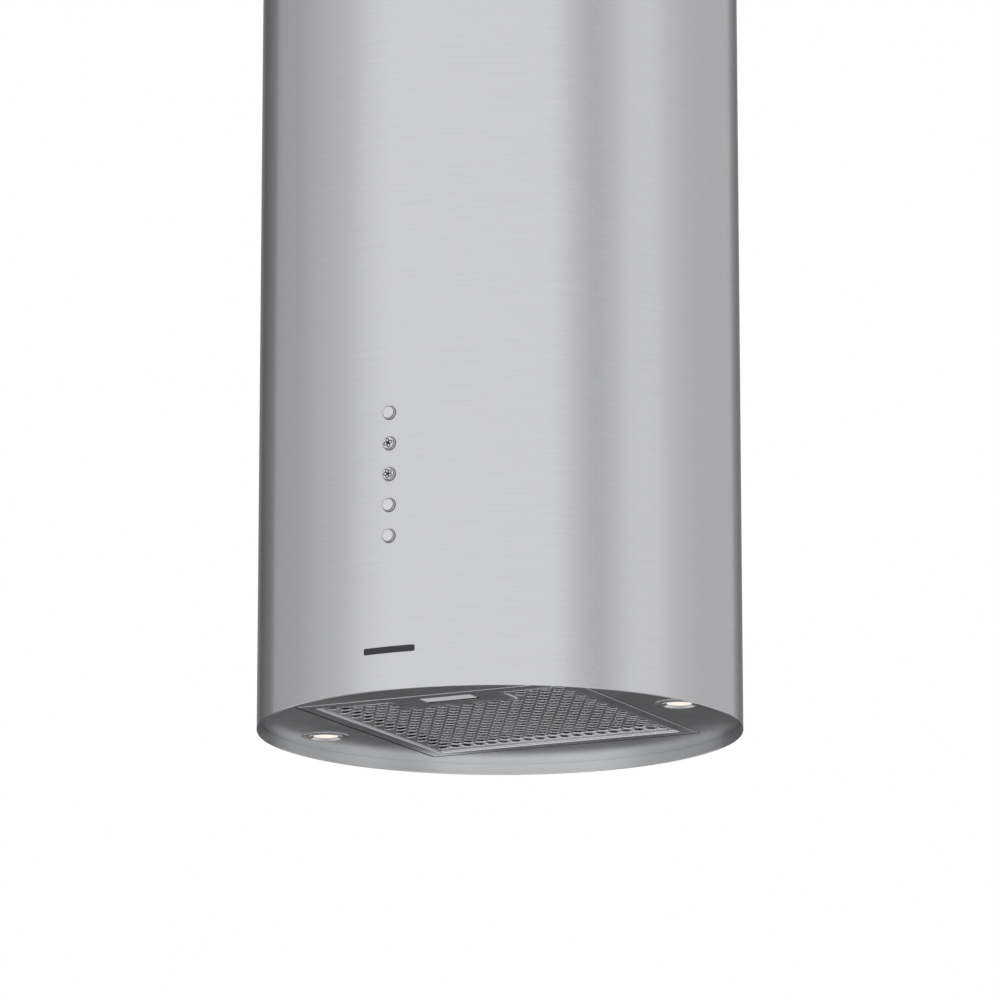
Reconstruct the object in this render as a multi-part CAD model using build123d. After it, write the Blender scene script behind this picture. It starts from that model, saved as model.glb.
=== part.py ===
"""Island range hood: a telescopic tubular hood that hangs from the ceiling.

Millimetres. The origin is the centre of the ceiling plate's top face, +Z is up, the key row faces -Y.
Heights called h are measured up from the lower rim of the shell, with the hood at its stored height.
"""

from build123d import *
import math
import os

# Driving dimensions
OVERALL_HEIGHT = 900.0
SHELL_RADIUS = 190.0
SHELL_WALL = 1.2
SHELL_HEIGHT = 600.0
UPPER_TUBE_RADIUS = 186.0
UPPER_TUBE_WALL = 0.8
UPPER_TUBE_BOTTOM = -560.0
UPPER_TUBE_TOP = -2.0
UPPER_POST_BOTTOM = -540.0

PANEL_RECESS = 9.0
PANEL_SHEET = 1.0
OPENING_HALF = 118.5
FILTER_HALF = 117.0
FILTER_DEPTH = 12.0
FILTER_BORDER = 11.0
FILTER_DISH = 2.0
HOLE_PITCH = 10.8
HOLE_RADIUS = 3.7
HINGE_Y = 115.7
HINGE_H = 11.6
HINGE_PIN_RADIUS = 1.0
LATCH_HALF_WIDTH = 21.5

LAMP_X = 154.0
LAMP_BEZEL_RADIUS = 19.5
LAMP_LENS_RADIUS = 12.5

KEY_COUNT = 5
KEY_PITCH = 24.0
LOWEST_KEY_H = 119.0
KEY_RADIUS = 5.2
KEY_STANDS_OUT = 2.4
KEY_TRAVEL = 1.6

CASING_HALF = 114.0
CASING_SHEET = 0.8
CASING_TOP_H = 350.0
DUCT_RADIUS = 75.0
SPIGOT_HEIGHT = 50.0
DAMPER_AXIS_H = 376.0

FAN_X = -10.0
FAN_H = 165.0
WHEEL_RADIUS = 62.0
WHEEL_HALF_WIDTH = 55.0
SCROLL_HALF_WIDTH = 60.0
SCROLL_START_RADIUS = 66.0
SCROLL_END_RADIUS = 100.0
SCROLL_START_DEG = 60.0
SCROLL_WALL = 1.2
THROAT_TOP_H = 270.0

POST_LEG = 24.0
POST_WALL = 2.0
POST_GAP = 0.5
LEAD_RADIUS = 2.5

# Levels and radii that follow from them
RIM_Z = -OVERALL_HEIGHT
SHELL_INNER = SHELL_RADIUS - SHELL_WALL
PANEL_TOP_H = PANEL_RECESS + PANEL_SHEET
FILTER_TOP_H = PANEL_RECESS + FILTER_DEPTH
LOWER_POST_FACE = CASING_HALF + POST_WALL
UPPER_POST_FACE = LOWER_POST_FACE + POST_GAP + POST_WALL


def z_of(h):
    """The Z of a height above the shell's rim."""
    return RIM_Z + h


def block(x, y, z):
    """A box between the low and high value of each pair."""
    centre = Pos(sum(x) / 2, sum(y) / 2, sum(z) / 2)
    return centre * Box(x[1] - x[0], y[1] - y[0], z[1] - z[0])


def block_h(x, y, h):
    """A box whose third pair is heights above the rim."""
    return block(x, y, (z_of(h[0]), z_of(h[1])))


def round_z(radius, h, x=0.0, y=0.0):
    """An upright cylinder between two heights above the rim."""
    return Pos(x, y, z_of(sum(h) / 2)) * Cylinder(radius, h[1] - h[0])


def round_y(radius, y, x, h):
    """A cylinder along Y."""
    return Pos(x, sum(y) / 2, z_of(h)) * Rot(90, 0, 0) * Cylinder(radius, y[1] - y[0])


def round_x(radius, x, y, h):
    """A cylinder along X."""
    return Pos(sum(x) / 2, y, z_of(h)) * Rot(0, 90, 0) * Cylinder(radius, x[1] - x[0])


def ring_z(outer, inner, h, x=0.0, y=0.0):
    """An upright ring between two heights above the rim."""
    return round_z(outer, h, x, y) - round_z(inner, h, x, y)


def square_ring(outer, inner, h):
    """A square frame given by its outer and inner half sides."""
    low, high = h
    whole = block_h((-outer, outer), (-outer, outer), (low, high))
    return whole - block_h((-inner, inner), (-inner, inner), (low - 1, high + 1))


def mirrored(pair, side):
    """A pair of distances from the middle, laid out on one side (+1 or -1) of it."""
    return tuple(sorted((pair[0] * side, pair[1] * side)))


def along_y(sketch, y):
    """Extrude a sketch drawn in X and height above the rim between two values of Y."""
    plane = Plane(origin=(0, y[1], RIM_Z), x_dir=(1, 0, 0), z_dir=(0, -1, 0))
    return extrude(plane * sketch, y[1] - y[0])


def key_heights():
    """The height of each key, lowest first."""
    return [LOWEST_KEY_H + KEY_PITCH * i for i in range(KEY_COUNT)]


def key_holes():
    """Clearance holes for the key caps through whatever lies in front of the switches."""
    return [round_y(KEY_RADIUS + 0.3, (-200, -180), 0, h) for h in key_heights()]


# ---------------------------------------------------------------- ceiling side

CEILING_PLATE_HALF = 125.0
CEILING_PLATE_SHEET = 3.0
CEILING_HOLE_RADIUS = 80.0
CEILING_BOLT_SPACING = 200.0
CEILING_BOLT_RADIUS = 4.0
TUBE_SCREW_Z = -16.0
VENT_SLOT_Z = -80.0
VENT_SLOT_DEG = 3.0
CLAMP_SCREW_Z = UPPER_POST_BOTTOM + 15.0


def ceiling_plate():
    plate = block((-CEILING_PLATE_HALF, CEILING_PLATE_HALF), (-CEILING_PLATE_HALF, CEILING_PLATE_HALF),
                  (-CEILING_PLATE_SHEET, 0))
    plate = fillet(plate.edges().filter_by(Axis.Z), 12)
    plate -= Pos(0, 0, -CEILING_PLATE_SHEET / 2) * Cylinder(CEILING_HOLE_RADIUS, 2 * CEILING_PLATE_SHEET)
    half = CEILING_BOLT_SPACING / 2
    for sx in (-1, 1):
        for sy in (-1, 1):
            hole = Cylinder(CEILING_BOLT_RADIUS, 2 * CEILING_PLATE_SHEET)
            plate -= Pos(sx * half, sy * half, -CEILING_PLATE_SHEET / 2) * hole
    return plate


def corner_posts(face, low, high):
    """Four L profiles whose outer faces lie at a distance from the axis, corner outward."""
    posts = []
    for sx in (-1, 1):
        for sy in (-1, 1):
            leg_x = block(mirrored((face - POST_LEG, face), sx), mirrored((face - POST_WALL, face), sy),
                          (low, high))
            leg_y = block(mirrored((face - POST_WALL, face), sx), mirrored((face - POST_LEG, face), sy),
                          (low, high))
            posts.append(leg_x + leg_y)
    return posts


def clamp_screw(side_x, side_y, radius, length):
    """A screw or its hole in the outer face of an upper post that looks along X."""
    y = side_y * (UPPER_POST_FACE - POST_LEG / 2 - 4)
    inner = UPPER_POST_FACE - POST_WALL
    return round_x(radius, mirrored((inner, inner + length), side_x), y, CLAMP_SCREW_Z - RIM_Z)


def upper_posts():
    posts = corner_posts(UPPER_POST_FACE, UPPER_POST_BOTTOM, -CEILING_PLATE_SHEET)
    holes = [clamp_screw(sx, sy, 2.0, 6.0) for sx in (-1, 1) for sy in (-1, 1)]
    return [post - hole for post, hole in zip(posts, holes)]


def post_clamp_screws():
    screws = []
    for sx in (-1, 1):
        for sy in (-1, 1):
            shank = clamp_screw(sx, sy, 2.0, POST_WALL)
            head = clamp_screw(sx, sy, 4.0, POST_WALL + 2.4) - clamp_screw(sx, sy, 5.0, POST_WALL)
            screws.append(shank + head)
    return screws


def upper_tube():
    middle = (UPPER_TUBE_BOTTOM + UPPER_TUBE_TOP) / 2
    length = UPPER_TUBE_TOP - UPPER_TUBE_BOTTOM
    outer = Pos(0, 0, middle) * Cylinder(UPPER_TUBE_RADIUS, length)
    tube = outer - Pos(0, 0, middle) * Cylinder(UPPER_TUBE_RADIUS - UPPER_TUBE_WALL, length)
    slot = Pos(UPPER_TUBE_RADIUS, 0, VENT_SLOT_Z) * Box(20, 4, 44)
    slots = []
    for side in (0, 180):
        for step in range(-5, 6):
            slots.append(Rot(0, 0, side + VENT_SLOT_DEG * step) * slot)
    tube -= slots
    return tube - round_x(2.0, (-200, 200), 0, TUBE_SCREW_Z - RIM_Z)


def upper_tube_brackets():
    """Two angle tabs that join the ceiling plate's underside to the tube."""
    inner = UPPER_TUBE_RADIUS - UPPER_TUBE_WALL - 0.5
    tabs = []
    for side in (-1, 1):
        flat = block(mirrored((100, inner), side), (-10, 10), (-4.5, -CEILING_PLATE_SHEET))
        drop = block(mirrored((inner - 1.5, inner), side), (-10, 10), (-26, -CEILING_PLATE_SHEET))
        hole = round_x(2.0, mirrored((inner - 3, inner + 3), side), 0, TUBE_SCREW_Z - RIM_Z)
        tabs.append(flat + drop - hole)
    return tabs


def upper_tube_screws():
    screws = []
    for side in (-1, 1):
        h = TUBE_SCREW_Z - RIM_Z
        shank = round_x(2.0, mirrored((UPPER_TUBE_RADIUS - 6, UPPER_TUBE_RADIUS), side), 0, h)
        head = round_x(3.8, mirrored((UPPER_TUBE_RADIUS, UPPER_TUBE_RADIUS + 2.0), side), 0, h)
        screws.append(shank + head)
    return screws


# ---------------------------------------------------------------- shell and underside

PANEL_FLANGE = 8.0
SEAT_OUTER = 124.0
SEAT_TOP_H = 28.0
LAMP_HOLE_RADIUS = 17.0
BADGE_H = (28.5, 33.5)


def shell():
    tube = ring_z(SHELL_RADIUS, SHELL_INNER, (0, SHELL_HEIGHT))
    return tube - key_holes()


def bottom_panel():
    edge = SHELL_INNER - 0.3
    panel = round_z(edge, (PANEL_RECESS, PANEL_TOP_H))
    panel += ring_z(edge, edge - PANEL_SHEET, (PANEL_RECESS, PANEL_RECESS + PANEL_FLANGE))
    panel -= block_h((-OPENING_HALF, OPENING_HALF), (-OPENING_HALF, OPENING_HALF), (0, 20))
    for side in (-1, 1):
        panel -= round_z(LAMP_HOLE_RADIUS, (0, 20), side * LAMP_X)
    return panel


def filter_seat():
    """Square collar on the panel that carries the casing and the filter's hinge lugs."""
    seat = square_ring(SEAT_OUTER, SEAT_OUTER - 1, (PANEL_TOP_H, SEAT_TOP_H))
    seat += square_ring(SEAT_OUTER + 7, SEAT_OUTER - 1, (PANEL_TOP_H, PANEL_TOP_H + 1))
    seat += square_ring(SEAT_OUTER, CASING_HALF - 2, (SEAT_TOP_H, SEAT_TOP_H + 1.2))
    for side in (-1, 1):
        lug = block_h(mirrored((OPENING_HALF + 0.2, SEAT_OUTER - 0.5), side),
                      (HINGE_Y - 4, HINGE_Y + 4), (PANEL_TOP_H, HINGE_H + 4))
        bore = mirrored((110, SEAT_OUTER - 1), side)
        seat += lug - round_x(HINGE_PIN_RADIUS + 0.05, bore, HINGE_Y, HINGE_H)
    return seat


def badge():
    """A plain curved plate, with no lettering."""
    plate = ring_z(SHELL_RADIUS + 0.4, SHELL_RADIUS, BADGE_H)
    return plate & block_h((-21.5, 21.5), (-200, -150), BADGE_H)


# ---------------------------------------------------------------- filter cassette

SHEET = 0.6
FILTER_INNER = FILTER_HALF - FILTER_BORDER
SHEET_EDGE_HALF = 112.0
SHEET_H = PANEL_RECESS + 1.0
SLOPE_OUTER = FILTER_INNER - 0.5
SLOPE_INNER = 86.0
DISHED_H = SHEET_H + FILTER_DISH
BLANK_X = 49.0
BLANK_EDGE_Y = -57.0
HOLE_REACH = 104.0
WINDOW_Y = (-101.5, -77.0)
GRIP_Y = (-100.5, -83.0)
LATCH_BAR_HALF = 9.0
COVER_Y = (-104.0, -66.0)
COVER_X = 26.0
COVER_TOP_H = 19.0


def filter_frame():
    frame = square_ring(FILTER_HALF, FILTER_INNER, (PANEL_RECESS, SHEET_H))
    frame += square_ring(FILTER_HALF, FILTER_HALF - 1, (PANEL_RECESS, FILTER_TOP_H))
    frame -= block_h((-LATCH_BAR_HALF - 0.6, LATCH_BAR_HALF + 0.6), (-FILTER_HALF - 1, -FILTER_HALF + 2),
                     (SHEET_H + 0.2, 15.2))
    for side in (-1, 1):
        frame -= round_x(HINGE_PIN_RADIUS, mirrored((112, 119), side), HINGE_Y, HINGE_H)
    return frame


def frustum(h):
    """The space under the dished centre of the lower sheet, between two heights."""
    low = Pos(0, 0, z_of(h[0])) * Rectangle(2 * SLOPE_OUTER, 2 * SLOPE_OUTER)
    high = Pos(0, 0, z_of(h[1])) * Rectangle(2 * SLOPE_INNER, 2 * SLOPE_INNER)
    return loft([low, high])


def hole_places(pitch, reach):
    """Centres of a triangular grid of holes inside a half side, clear of the latch plate."""
    places = []
    row_pitch = pitch * math.sqrt(3) / 2
    rows = int(reach / row_pitch) + 1
    for row in range(-rows, rows + 1):
        shift = pitch / 2 if row % 2 else 0.0
        for column in range(-rows, rows + 1):
            x = column * pitch + shift
            y = row * row_pitch
            inside = max(abs(x), abs(y)) < reach
            on_blank = abs(x) < BLANK_X and y < BLANK_EDGE_Y
            if inside and not on_blank:
                places.append((x, y))
    return places


def drills(places, radius, h):
    """Cylinders at a list of places, as one tool."""
    sketch = Sketch() + [Pos(x, y) * Circle(radius) for x, y in places]
    return extrude(Pos(0, 0, z_of(h[0])) * sketch, h[1] - h[0])


def filter_sheet_lower():
    rim = (-SHEET_EDGE_HALF, SHEET_EDGE_HALF)
    sheet = block_h(rim, rim, (SHEET_H, SHEET_H + SHEET))
    sheet += frustum((SHEET_H + SHEET, DISHED_H + SHEET))
    sheet -= frustum((SHEET_H, DISHED_H))
    places = hole_places(HOLE_PITCH, HOLE_REACH - HOLE_RADIUS)
    sheet -= drills(places, HOLE_RADIUS, (SHEET_H - 1, DISHED_H + 2))
    return sheet - block_h((-LATCH_HALF_WIDTH - 0.5, LATCH_HALF_WIDTH + 0.5), WINDOW_Y, (0, 30))


def filter_mesh():
    """The pack of expanded metal layers, as one slab with room for the latch."""
    slab = block_h((-110, 110), (-110, 110), (15.4, 19.4))
    return slab - block_h((-COVER_X - 1, COVER_X + 1), (-120, COVER_Y[1] + 1), (0, 30))


def filter_sheet_upper():
    sheet = block_h((-115, 115), (-115, 115), (19.6, 19.6 + SHEET))
    return sheet - drills(hole_places(2 * HOLE_PITCH, 105), 2 * HOLE_RADIUS, (18, 22))


def filter_hinge_pins():
    return [round_x(HINGE_PIN_RADIUS, mirrored((113, 122.5), side), HINGE_Y, HINGE_H) for side in (-1, 1)]


def latch_cover():
    """Moulded cover over the latch, open below, with a slot for its bar."""
    low = DISHED_H + SHEET
    cover = block_h((-COVER_X, COVER_X), COVER_Y, (low, COVER_TOP_H))
    cover -= block_h((-COVER_X + 1, COVER_X - 1), (COVER_Y[0] + 1, COVER_Y[1] - 1),
                     (low - 1, COVER_TOP_H - 0.8))
    return cover - block_h((-LATCH_BAR_HALF - 0.5, LATCH_BAR_HALF + 0.5), (-110, -100), (low - 1, 15.0))


def latch_slider():
    """The finger grip, the web through the sheet's window and the bar that carries the tongue."""
    grip = block_h((-LATCH_HALF_WIDTH, LATCH_HALF_WIDTH), GRIP_Y, (10.9, 12.9))
    grip -= Pos(0, sum(GRIP_Y) / 2, z_of(10.9)) * Box(2 * LATCH_HALF_WIDTH - 6, 11, 1.2)
    web = block_h((-18, 18), (-100, -84), (12.9, 14.5))
    bar = block_h((-LATCH_BAR_HALF, LATCH_BAR_HALF), (-115.5, -84), (13.0, 14.5))
    spring_boss = block_h((-4, 4), (-88, -84), (14.5, 17.9))
    return grip + web + bar + spring_boss


def latch_tongue():
    """The hooked spring tongue that lies over the panel's edge."""
    outline = [(-115.5, 13.0), (-115.5, 14.5), (-119.0, 14.5), (-121.5, 12.4), (-121.5, 10.4),
               (-119.0, 10.4), (-118.2, 13.0)]
    face = make_face(Polyline(*outline, close=True))
    plane = Plane(origin=(-8, 0, RIM_Z), x_dir=(0, 1, 0), z_dir=(1, 0, 0))
    return extrude(plane * face, 16)


def latch_spring():
    length = COVER_Y[1] - 1 + 84
    coil = Helix(pitch=2.2, height=length - 1.0, radius=1.3)
    wire = sweep(Plane(origin=coil @ 0, z_dir=coil % 0) * Circle(0.25), path=coil)
    return Pos(0, -83.5, z_of(16.2)) * Rot(-90, 0, 0) * wire


# ---------------------------------------------------------------- lamps

BEZEL_DROP = 1.0
LAMP_MOUTH_RADIUS = 9.8
LAMP_LENS_H = PANEL_RECESS + 0.8
LAMP_LENS_TOP_H = PANEL_RECESS + 2.4
LAMP_TOP_H = 34.0


def lamp_bezel(side):
    low = PANEL_RECESS - BEZEL_DROP
    flange = round_z(LAMP_BEZEL_RADIUS, (low, PANEL_RECESS), side * LAMP_X)
    flange = chamfer(flange.edges().group_by(Axis.Z)[0], 0.7)
    neck = round_z(LAMP_HOLE_RADIUS - 0.4, (PANEL_RECESS, 16), side * LAMP_X)
    bore = round_z(LAMP_LENS_RADIUS + 0.3, (LAMP_LENS_H - 0.1, 17), side * LAMP_X)
    lip = LAMP_LENS_RADIUS + 1.0
    mouth = Pos(side * LAMP_X, 0, z_of(low + 0.625)) * Cone(lip, LAMP_MOUTH_RADIUS, 1.25)
    throat = round_z(LAMP_MOUTH_RADIUS, (low, 17), side * LAMP_X)
    return flange + neck - bore - mouth - throat


def lamp_lens(side):
    return round_z(LAMP_LENS_RADIUS, (LAMP_LENS_H, LAMP_LENS_TOP_H), side * LAMP_X)


def lamp_body(side):
    """Lamp capsule with cooling ribs, behind the lens."""
    body = round_z(LAMP_HOLE_RADIUS - 2.4, (16, LAMP_TOP_H), side * LAMP_X)
    body += round_z(LAMP_LENS_RADIUS, (LAMP_LENS_TOP_H, 16), side * LAMP_X)
    for h in (18, 22, 26, 30):
        body += round_z(LAMP_HOLE_RADIUS - 0.6, (h, h + 1.6), side * LAMP_X)
    return body


# ---------------------------------------------------------------- keys

HOUSING_X = 14.0
HOUSING_H = (104.0, 230.0)
HOUSING_FRONT_Y = -187.5
HOUSING_BACK_Y = -161.0
BOARD_FACE_Y = -162.6
SWITCH_FACE_Y = -170.8


def switch_housing():
    housing = block_h((-HOUSING_X, HOUSING_X), (HOUSING_FRONT_Y, HOUSING_BACK_Y), HOUSING_H)
    housing -= block_h((-HOUSING_X + 1.6, HOUSING_X - 1.6), (HOUSING_FRONT_Y + 2, HOUSING_BACK_Y + 1),
                       (HOUSING_H[0] + 1.6, HOUSING_H[1] - 1.6))
    return housing - key_holes()


def switch_board():
    """The circuit board and one micro-switch behind each key."""
    board = block_h((-12.2, 12.2), (BOARD_FACE_Y, HOUSING_BACK_Y), (HOUSING_H[0] + 2, HOUSING_H[1] - 2))
    switches = [block_h((-4, 4), (SWITCH_FACE_Y, BOARD_FACE_Y), (h - 4, h + 4)) for h in key_heights()]
    return [board] + switches


def key(h):
    """A round key cap with its retaining collar and stem."""
    front = -SHELL_RADIUS - KEY_STANDS_OUT
    cap = round_y(KEY_RADIUS, (front, -182), 0, h)
    cap = fillet(cap.edges().group_by(Axis.Y)[0], 0.6)
    collar = round_y(KEY_RADIUS + 1.2, (-185.2, -183.8), 0, h)
    stem = round_y(2.0, (-182, SWITCH_FACE_Y - KEY_TRAVEL - 0.3), 0, h)
    return cap + collar + stem


# ---------------------------------------------------------------- casing, outlet and damper

TRANSITION_TOP_H = CASING_TOP_H
OUTLET_RADIUS = 72.8
SPIGOT_WALL = 1.2
SPIGOT_BASE_H = CASING_TOP_H + 1.2
SPINDLE_RADIUS = 2.0
SPINDLE_REACH = DUCT_RADIUS - 0.6
FLAP_RADIUS = 73.0
KNUCKLE_RADIUS = 3.2
FLAP_SHEET = 0.8
MOTOR_LEAD_H = 56.0


def casing_body():
    casing = square_ring(CASING_HALF, CASING_HALF - CASING_SHEET, (SEAT_TOP_H + 1.2, CASING_TOP_H))
    return casing - round_y(LEAD_RADIUS + 0.6, (110, 118), FAN_X, MOTOR_LEAD_H)


def flange_screw_places():
    return [(80 * math.cos(math.radians(a)), 80 * math.sin(math.radians(a))) for a in (0, 90, 180, 270)]


def casing_top():
    top = block_h((-CASING_HALF, CASING_HALF), (-CASING_HALF, CASING_HALF), (CASING_TOP_H, SPIGOT_BASE_H))
    top -= round_z(OUTLET_RADIUS, (CASING_TOP_H - 1, SPIGOT_BASE_H + 1))
    return top - drills(flange_screw_places(), 1.6, (CASING_TOP_H - 1, SPIGOT_BASE_H + 1))


def lower_posts():
    return corner_posts(LOWER_POST_FACE, z_of(60), z_of(SHELL_HEIGHT))


def outlet_spigot():
    """Round collar for the duct, with the ledge that the flaps close on and blind spindle seats."""
    inner = DUCT_RADIUS - SPIGOT_WALL
    spigot = ring_z(DUCT_RADIUS, inner, (SPIGOT_BASE_H, SPIGOT_BASE_H + SPIGOT_HEIGHT))
    spigot += ring_z(DUCT_RADIUS + 10, OUTLET_RADIUS, (SPIGOT_BASE_H, SPIGOT_BASE_H + 1.2))
    ledge_top = DAMPER_AXIS_H - KNUCKLE_RADIUS - 0.3
    spigot += ring_z(inner, inner - 3.8, (ledge_top - 1.2, ledge_top))
    spigot -= round_x(SPINDLE_RADIUS, (-SPINDLE_REACH, SPINDLE_REACH), 0, DAMPER_AXIS_H)
    return spigot - drills(flange_screw_places(), 1.6, (SPIGOT_BASE_H - 1, SPIGOT_BASE_H + 3))


def damper_spindle():
    return round_x(SPINDLE_RADIUS, (-SPINDLE_REACH, SPINDLE_REACH), 0, DAMPER_AXIS_H)


def damper_flap(side, knuckle_centres):
    """A half-round flap on one side (-1 front, +1 back) of the spindle, with its own knuckles."""
    low = DAMPER_AXIS_H - KNUCKLE_RADIUS
    disc = round_z(FLAP_RADIUS, (low, low + FLAP_SHEET))
    flap = disc & block_h((-80, 80), mirrored((KNUCKLE_RADIUS + 0.3, 80), side), (low - 1, low + 2))
    for x in knuckle_centres:
        flap += block_h((x - 6, x + 6), mirrored((0, KNUCKLE_RADIUS + 2), side), (low, low + FLAP_SHEET))
        flap += round_x(KNUCKLE_RADIUS, (x - 6, x + 6), 0, DAMPER_AXIS_H)
    return flap - round_x(SPINDLE_RADIUS + 0.05, (-80, 80), 0, DAMPER_AXIS_H)


def throat_x(wall):
    """The low and high X of the blower's outlet throat, outside a wall of this thickness."""
    left = FAN_X + SCROLL_START_RADIUS * math.cos(math.radians(SCROLL_START_DEG))
    return left - wall, FAN_X + SCROLL_END_RADIUS + wall


def outlet_transition():
    """Duct from the blower's rectangular throat to the round outlet."""
    def passage(wall):
        x_low, x_high = throat_x(wall)
        half_y = SCROLL_HALF_WIDTH + wall
        corners = [(x_high, half_y), (x_low, half_y), (x_low, -half_y), (x_high, -half_y)]
        throat = make_face(Polyline(*corners, close=True))
        radius = OUTLET_RADIUS - 0.2 + wall - SCROLL_WALL
        at = [(radius * math.cos(math.radians(a)), radius * math.sin(math.radians(a)))
              for a in range(45, 406, 45)]
        arcs = [ThreePointArc(at[i], at[i + 1], at[i + 2]) for i in (0, 2, 4, 6)]
        outlet = make_face(Curve() + arcs)
        low = Pos(0, 0, z_of(THROAT_TOP_H)) * throat
        high = Pos(0, 0, z_of(TRANSITION_TOP_H)) * outlet
        return loft([low, high], ruled=True)
    return passage(SCROLL_WALL) - passage(0.0)


# ---------------------------------------------------------------- blower

INLET_RADIUS = 54.0
INLET_RING_DEPTH = 3.0
SHAFT_RADIUS = 4.0
MOTOR_RADIUS = 38.0
MOTOR_Y = (-57.0, -7.0)
BRACKET_Y = (-71.0, -68.0)
ARM_DEGREES = (90, 210, 330)
ARM_REACH = 58.0
BLADE_COUNT = 32


def scroll_sketch(wall):
    """Spiral air passage and its upright throat, grown by a wall thickness."""
    def spiral(degrees):
        part_way = (degrees - SCROLL_START_DEG) / (360 - SCROLL_START_DEG)
        radius = SCROLL_START_RADIUS + (SCROLL_END_RADIUS - SCROLL_START_RADIUS) * part_way + wall
        angle = math.radians(degrees)
        return FAN_X + radius * math.cos(angle), FAN_H + radius * math.sin(angle)
    points = [spiral(a) for a in range(int(SCROLL_START_DEG), 361, 30)]
    body = make_face(Curve() + [Spline(*points), Line(points[-1], points[0])])
    x_low, x_high = throat_x(wall)
    throat = Pos((x_low + x_high) / 2, (FAN_H + THROAT_TOP_H) / 2)
    return body + throat * Rectangle(x_high - x_low, THROAT_TOP_H - FAN_H)


def scroll_half(side):
    """One half of the scroll, front (-1) or back (+1), with its inlet hole."""
    half = along_y(scroll_sketch(SCROLL_WALL), mirrored((0, SCROLL_HALF_WIDTH + SCROLL_WALL), side))
    half -= along_y(scroll_sketch(0.0), mirrored((-1, SCROLL_HALF_WIDTH), side))
    return half - round_y(INLET_RADIUS, mirrored((50, 70), side), FAN_X, FAN_H)


def inlet_ring(side):
    """Bell-mouthed ring on the outside of an inlet."""
    base = SCROLL_HALF_WIDTH + SCROLL_WALL
    ring = round_y(INLET_RADIUS + 9, mirrored((base, base + INLET_RING_DEPTH), side), FAN_X, FAN_H)
    ring -= round_y(INLET_RADIUS - 1, mirrored((base - 1, base + 5), side), FAN_X, FAN_H)
    mouth = ring.edges().filter_by(GeomType.CIRCLE).filter_by(lambda e: e.radius < INLET_RADIUS)
    outer = mouth.sort_by(Axis.Y)[0 if side < 0 else -1]
    return fillet(outer, 2.5)


def impeller():
    """Double-inlet squirrel-cage wheel."""
    disc = round_y(WHEEL_RADIUS - 0.5, (-1, 1), FAN_X, FAN_H)
    wheel = disc + round_y(12, (-1, 16), FAN_X, FAN_H)
    for side in (-1, 1):
        band = mirrored((WHEEL_HALF_WIDTH - 2, WHEEL_HALF_WIDTH), side)
        wheel += round_y(WHEEL_RADIUS, band, FAN_X, FAN_H) - round_y(WHEEL_RADIUS - 12, band, FAN_X, FAN_H)
    blade = Pos(WHEEL_RADIUS - 6.2, 0, 0) * Rot(0, 25, 0) * Box(11, 2 * WHEEL_HALF_WIDTH - 2, 0.9)
    turns = [Rot(0, 360 / BLADE_COUNT * i, 0) for i in range(BLADE_COUNT)]
    wheel += [Pos(FAN_X, 0, z_of(FAN_H)) * turn * blade for turn in turns]
    return wheel - round_y(SHAFT_RADIUS, (-5, 20), FAN_X, FAN_H)


def motor_shaft():
    return round_y(SHAFT_RADIUS, (-64, 18), FAN_X, FAN_H)


def motor_stator():
    """Motor can with end bells, round its shaft."""
    can = round_y(MOTOR_RADIUS, MOTOR_Y, FAN_X, FAN_H)
    can = fillet(can.edges().filter_by(GeomType.CIRCLE), 4)
    nose = round_y(12, (BRACKET_Y[1], MOTOR_Y[0]), FAN_X, FAN_H)
    return can + nose - round_y(SHAFT_RADIUS + 0.05, (-66, 0), FAN_X, FAN_H)


def motor_bracket():
    """Three arms that hold the motor in the front inlet."""
    middle = (BRACKET_Y[0] + BRACKET_Y[1]) / 2
    bracket = round_y(22, BRACKET_Y, FAN_X, FAN_H)
    for degrees in ARM_DEGREES:
        arm = Pos(ARM_REACH / 2, 0, 0) * Box(ARM_REACH + 8, BRACKET_Y[1] - BRACKET_Y[0], 12)
        bracket += Pos(FAN_X, middle, z_of(FAN_H)) * Rot(0, -degrees, 0) * arm
    return bracket


def motor_dampers():
    """Rubber bobbins between the arms and the front inlet ring."""
    face = -SCROLL_HALF_WIDTH - SCROLL_WALL - INLET_RING_DEPTH
    bobbins = []
    for degrees in ARM_DEGREES:
        angle = math.radians(degrees)
        x = FAN_X + ARM_REACH * math.cos(angle)
        bobbins.append(round_y(4.5, (BRACKET_Y[1], face), x, FAN_H + ARM_REACH * math.sin(angle)))
    return bobbins


# ---------------------------------------------------------------- electrics

BOX_X = 55.0
BOX_Y = (CASING_HALF, 160.0)
BOX_H = (44.0, 190.0)
BOX_SHEET = 1.0
SWITCH_LEAD_H = 95.0
LAMP_LEAD_H = 70.0
LEAD_LINE = 128.0
GLAND_X = 30.0


def lid_screw_places():
    return [(sx * (BOX_X - 4), h) for sx in (-1, 1) for h in (BOX_H[0] + 4, BOX_H[1] - 4)]


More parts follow.
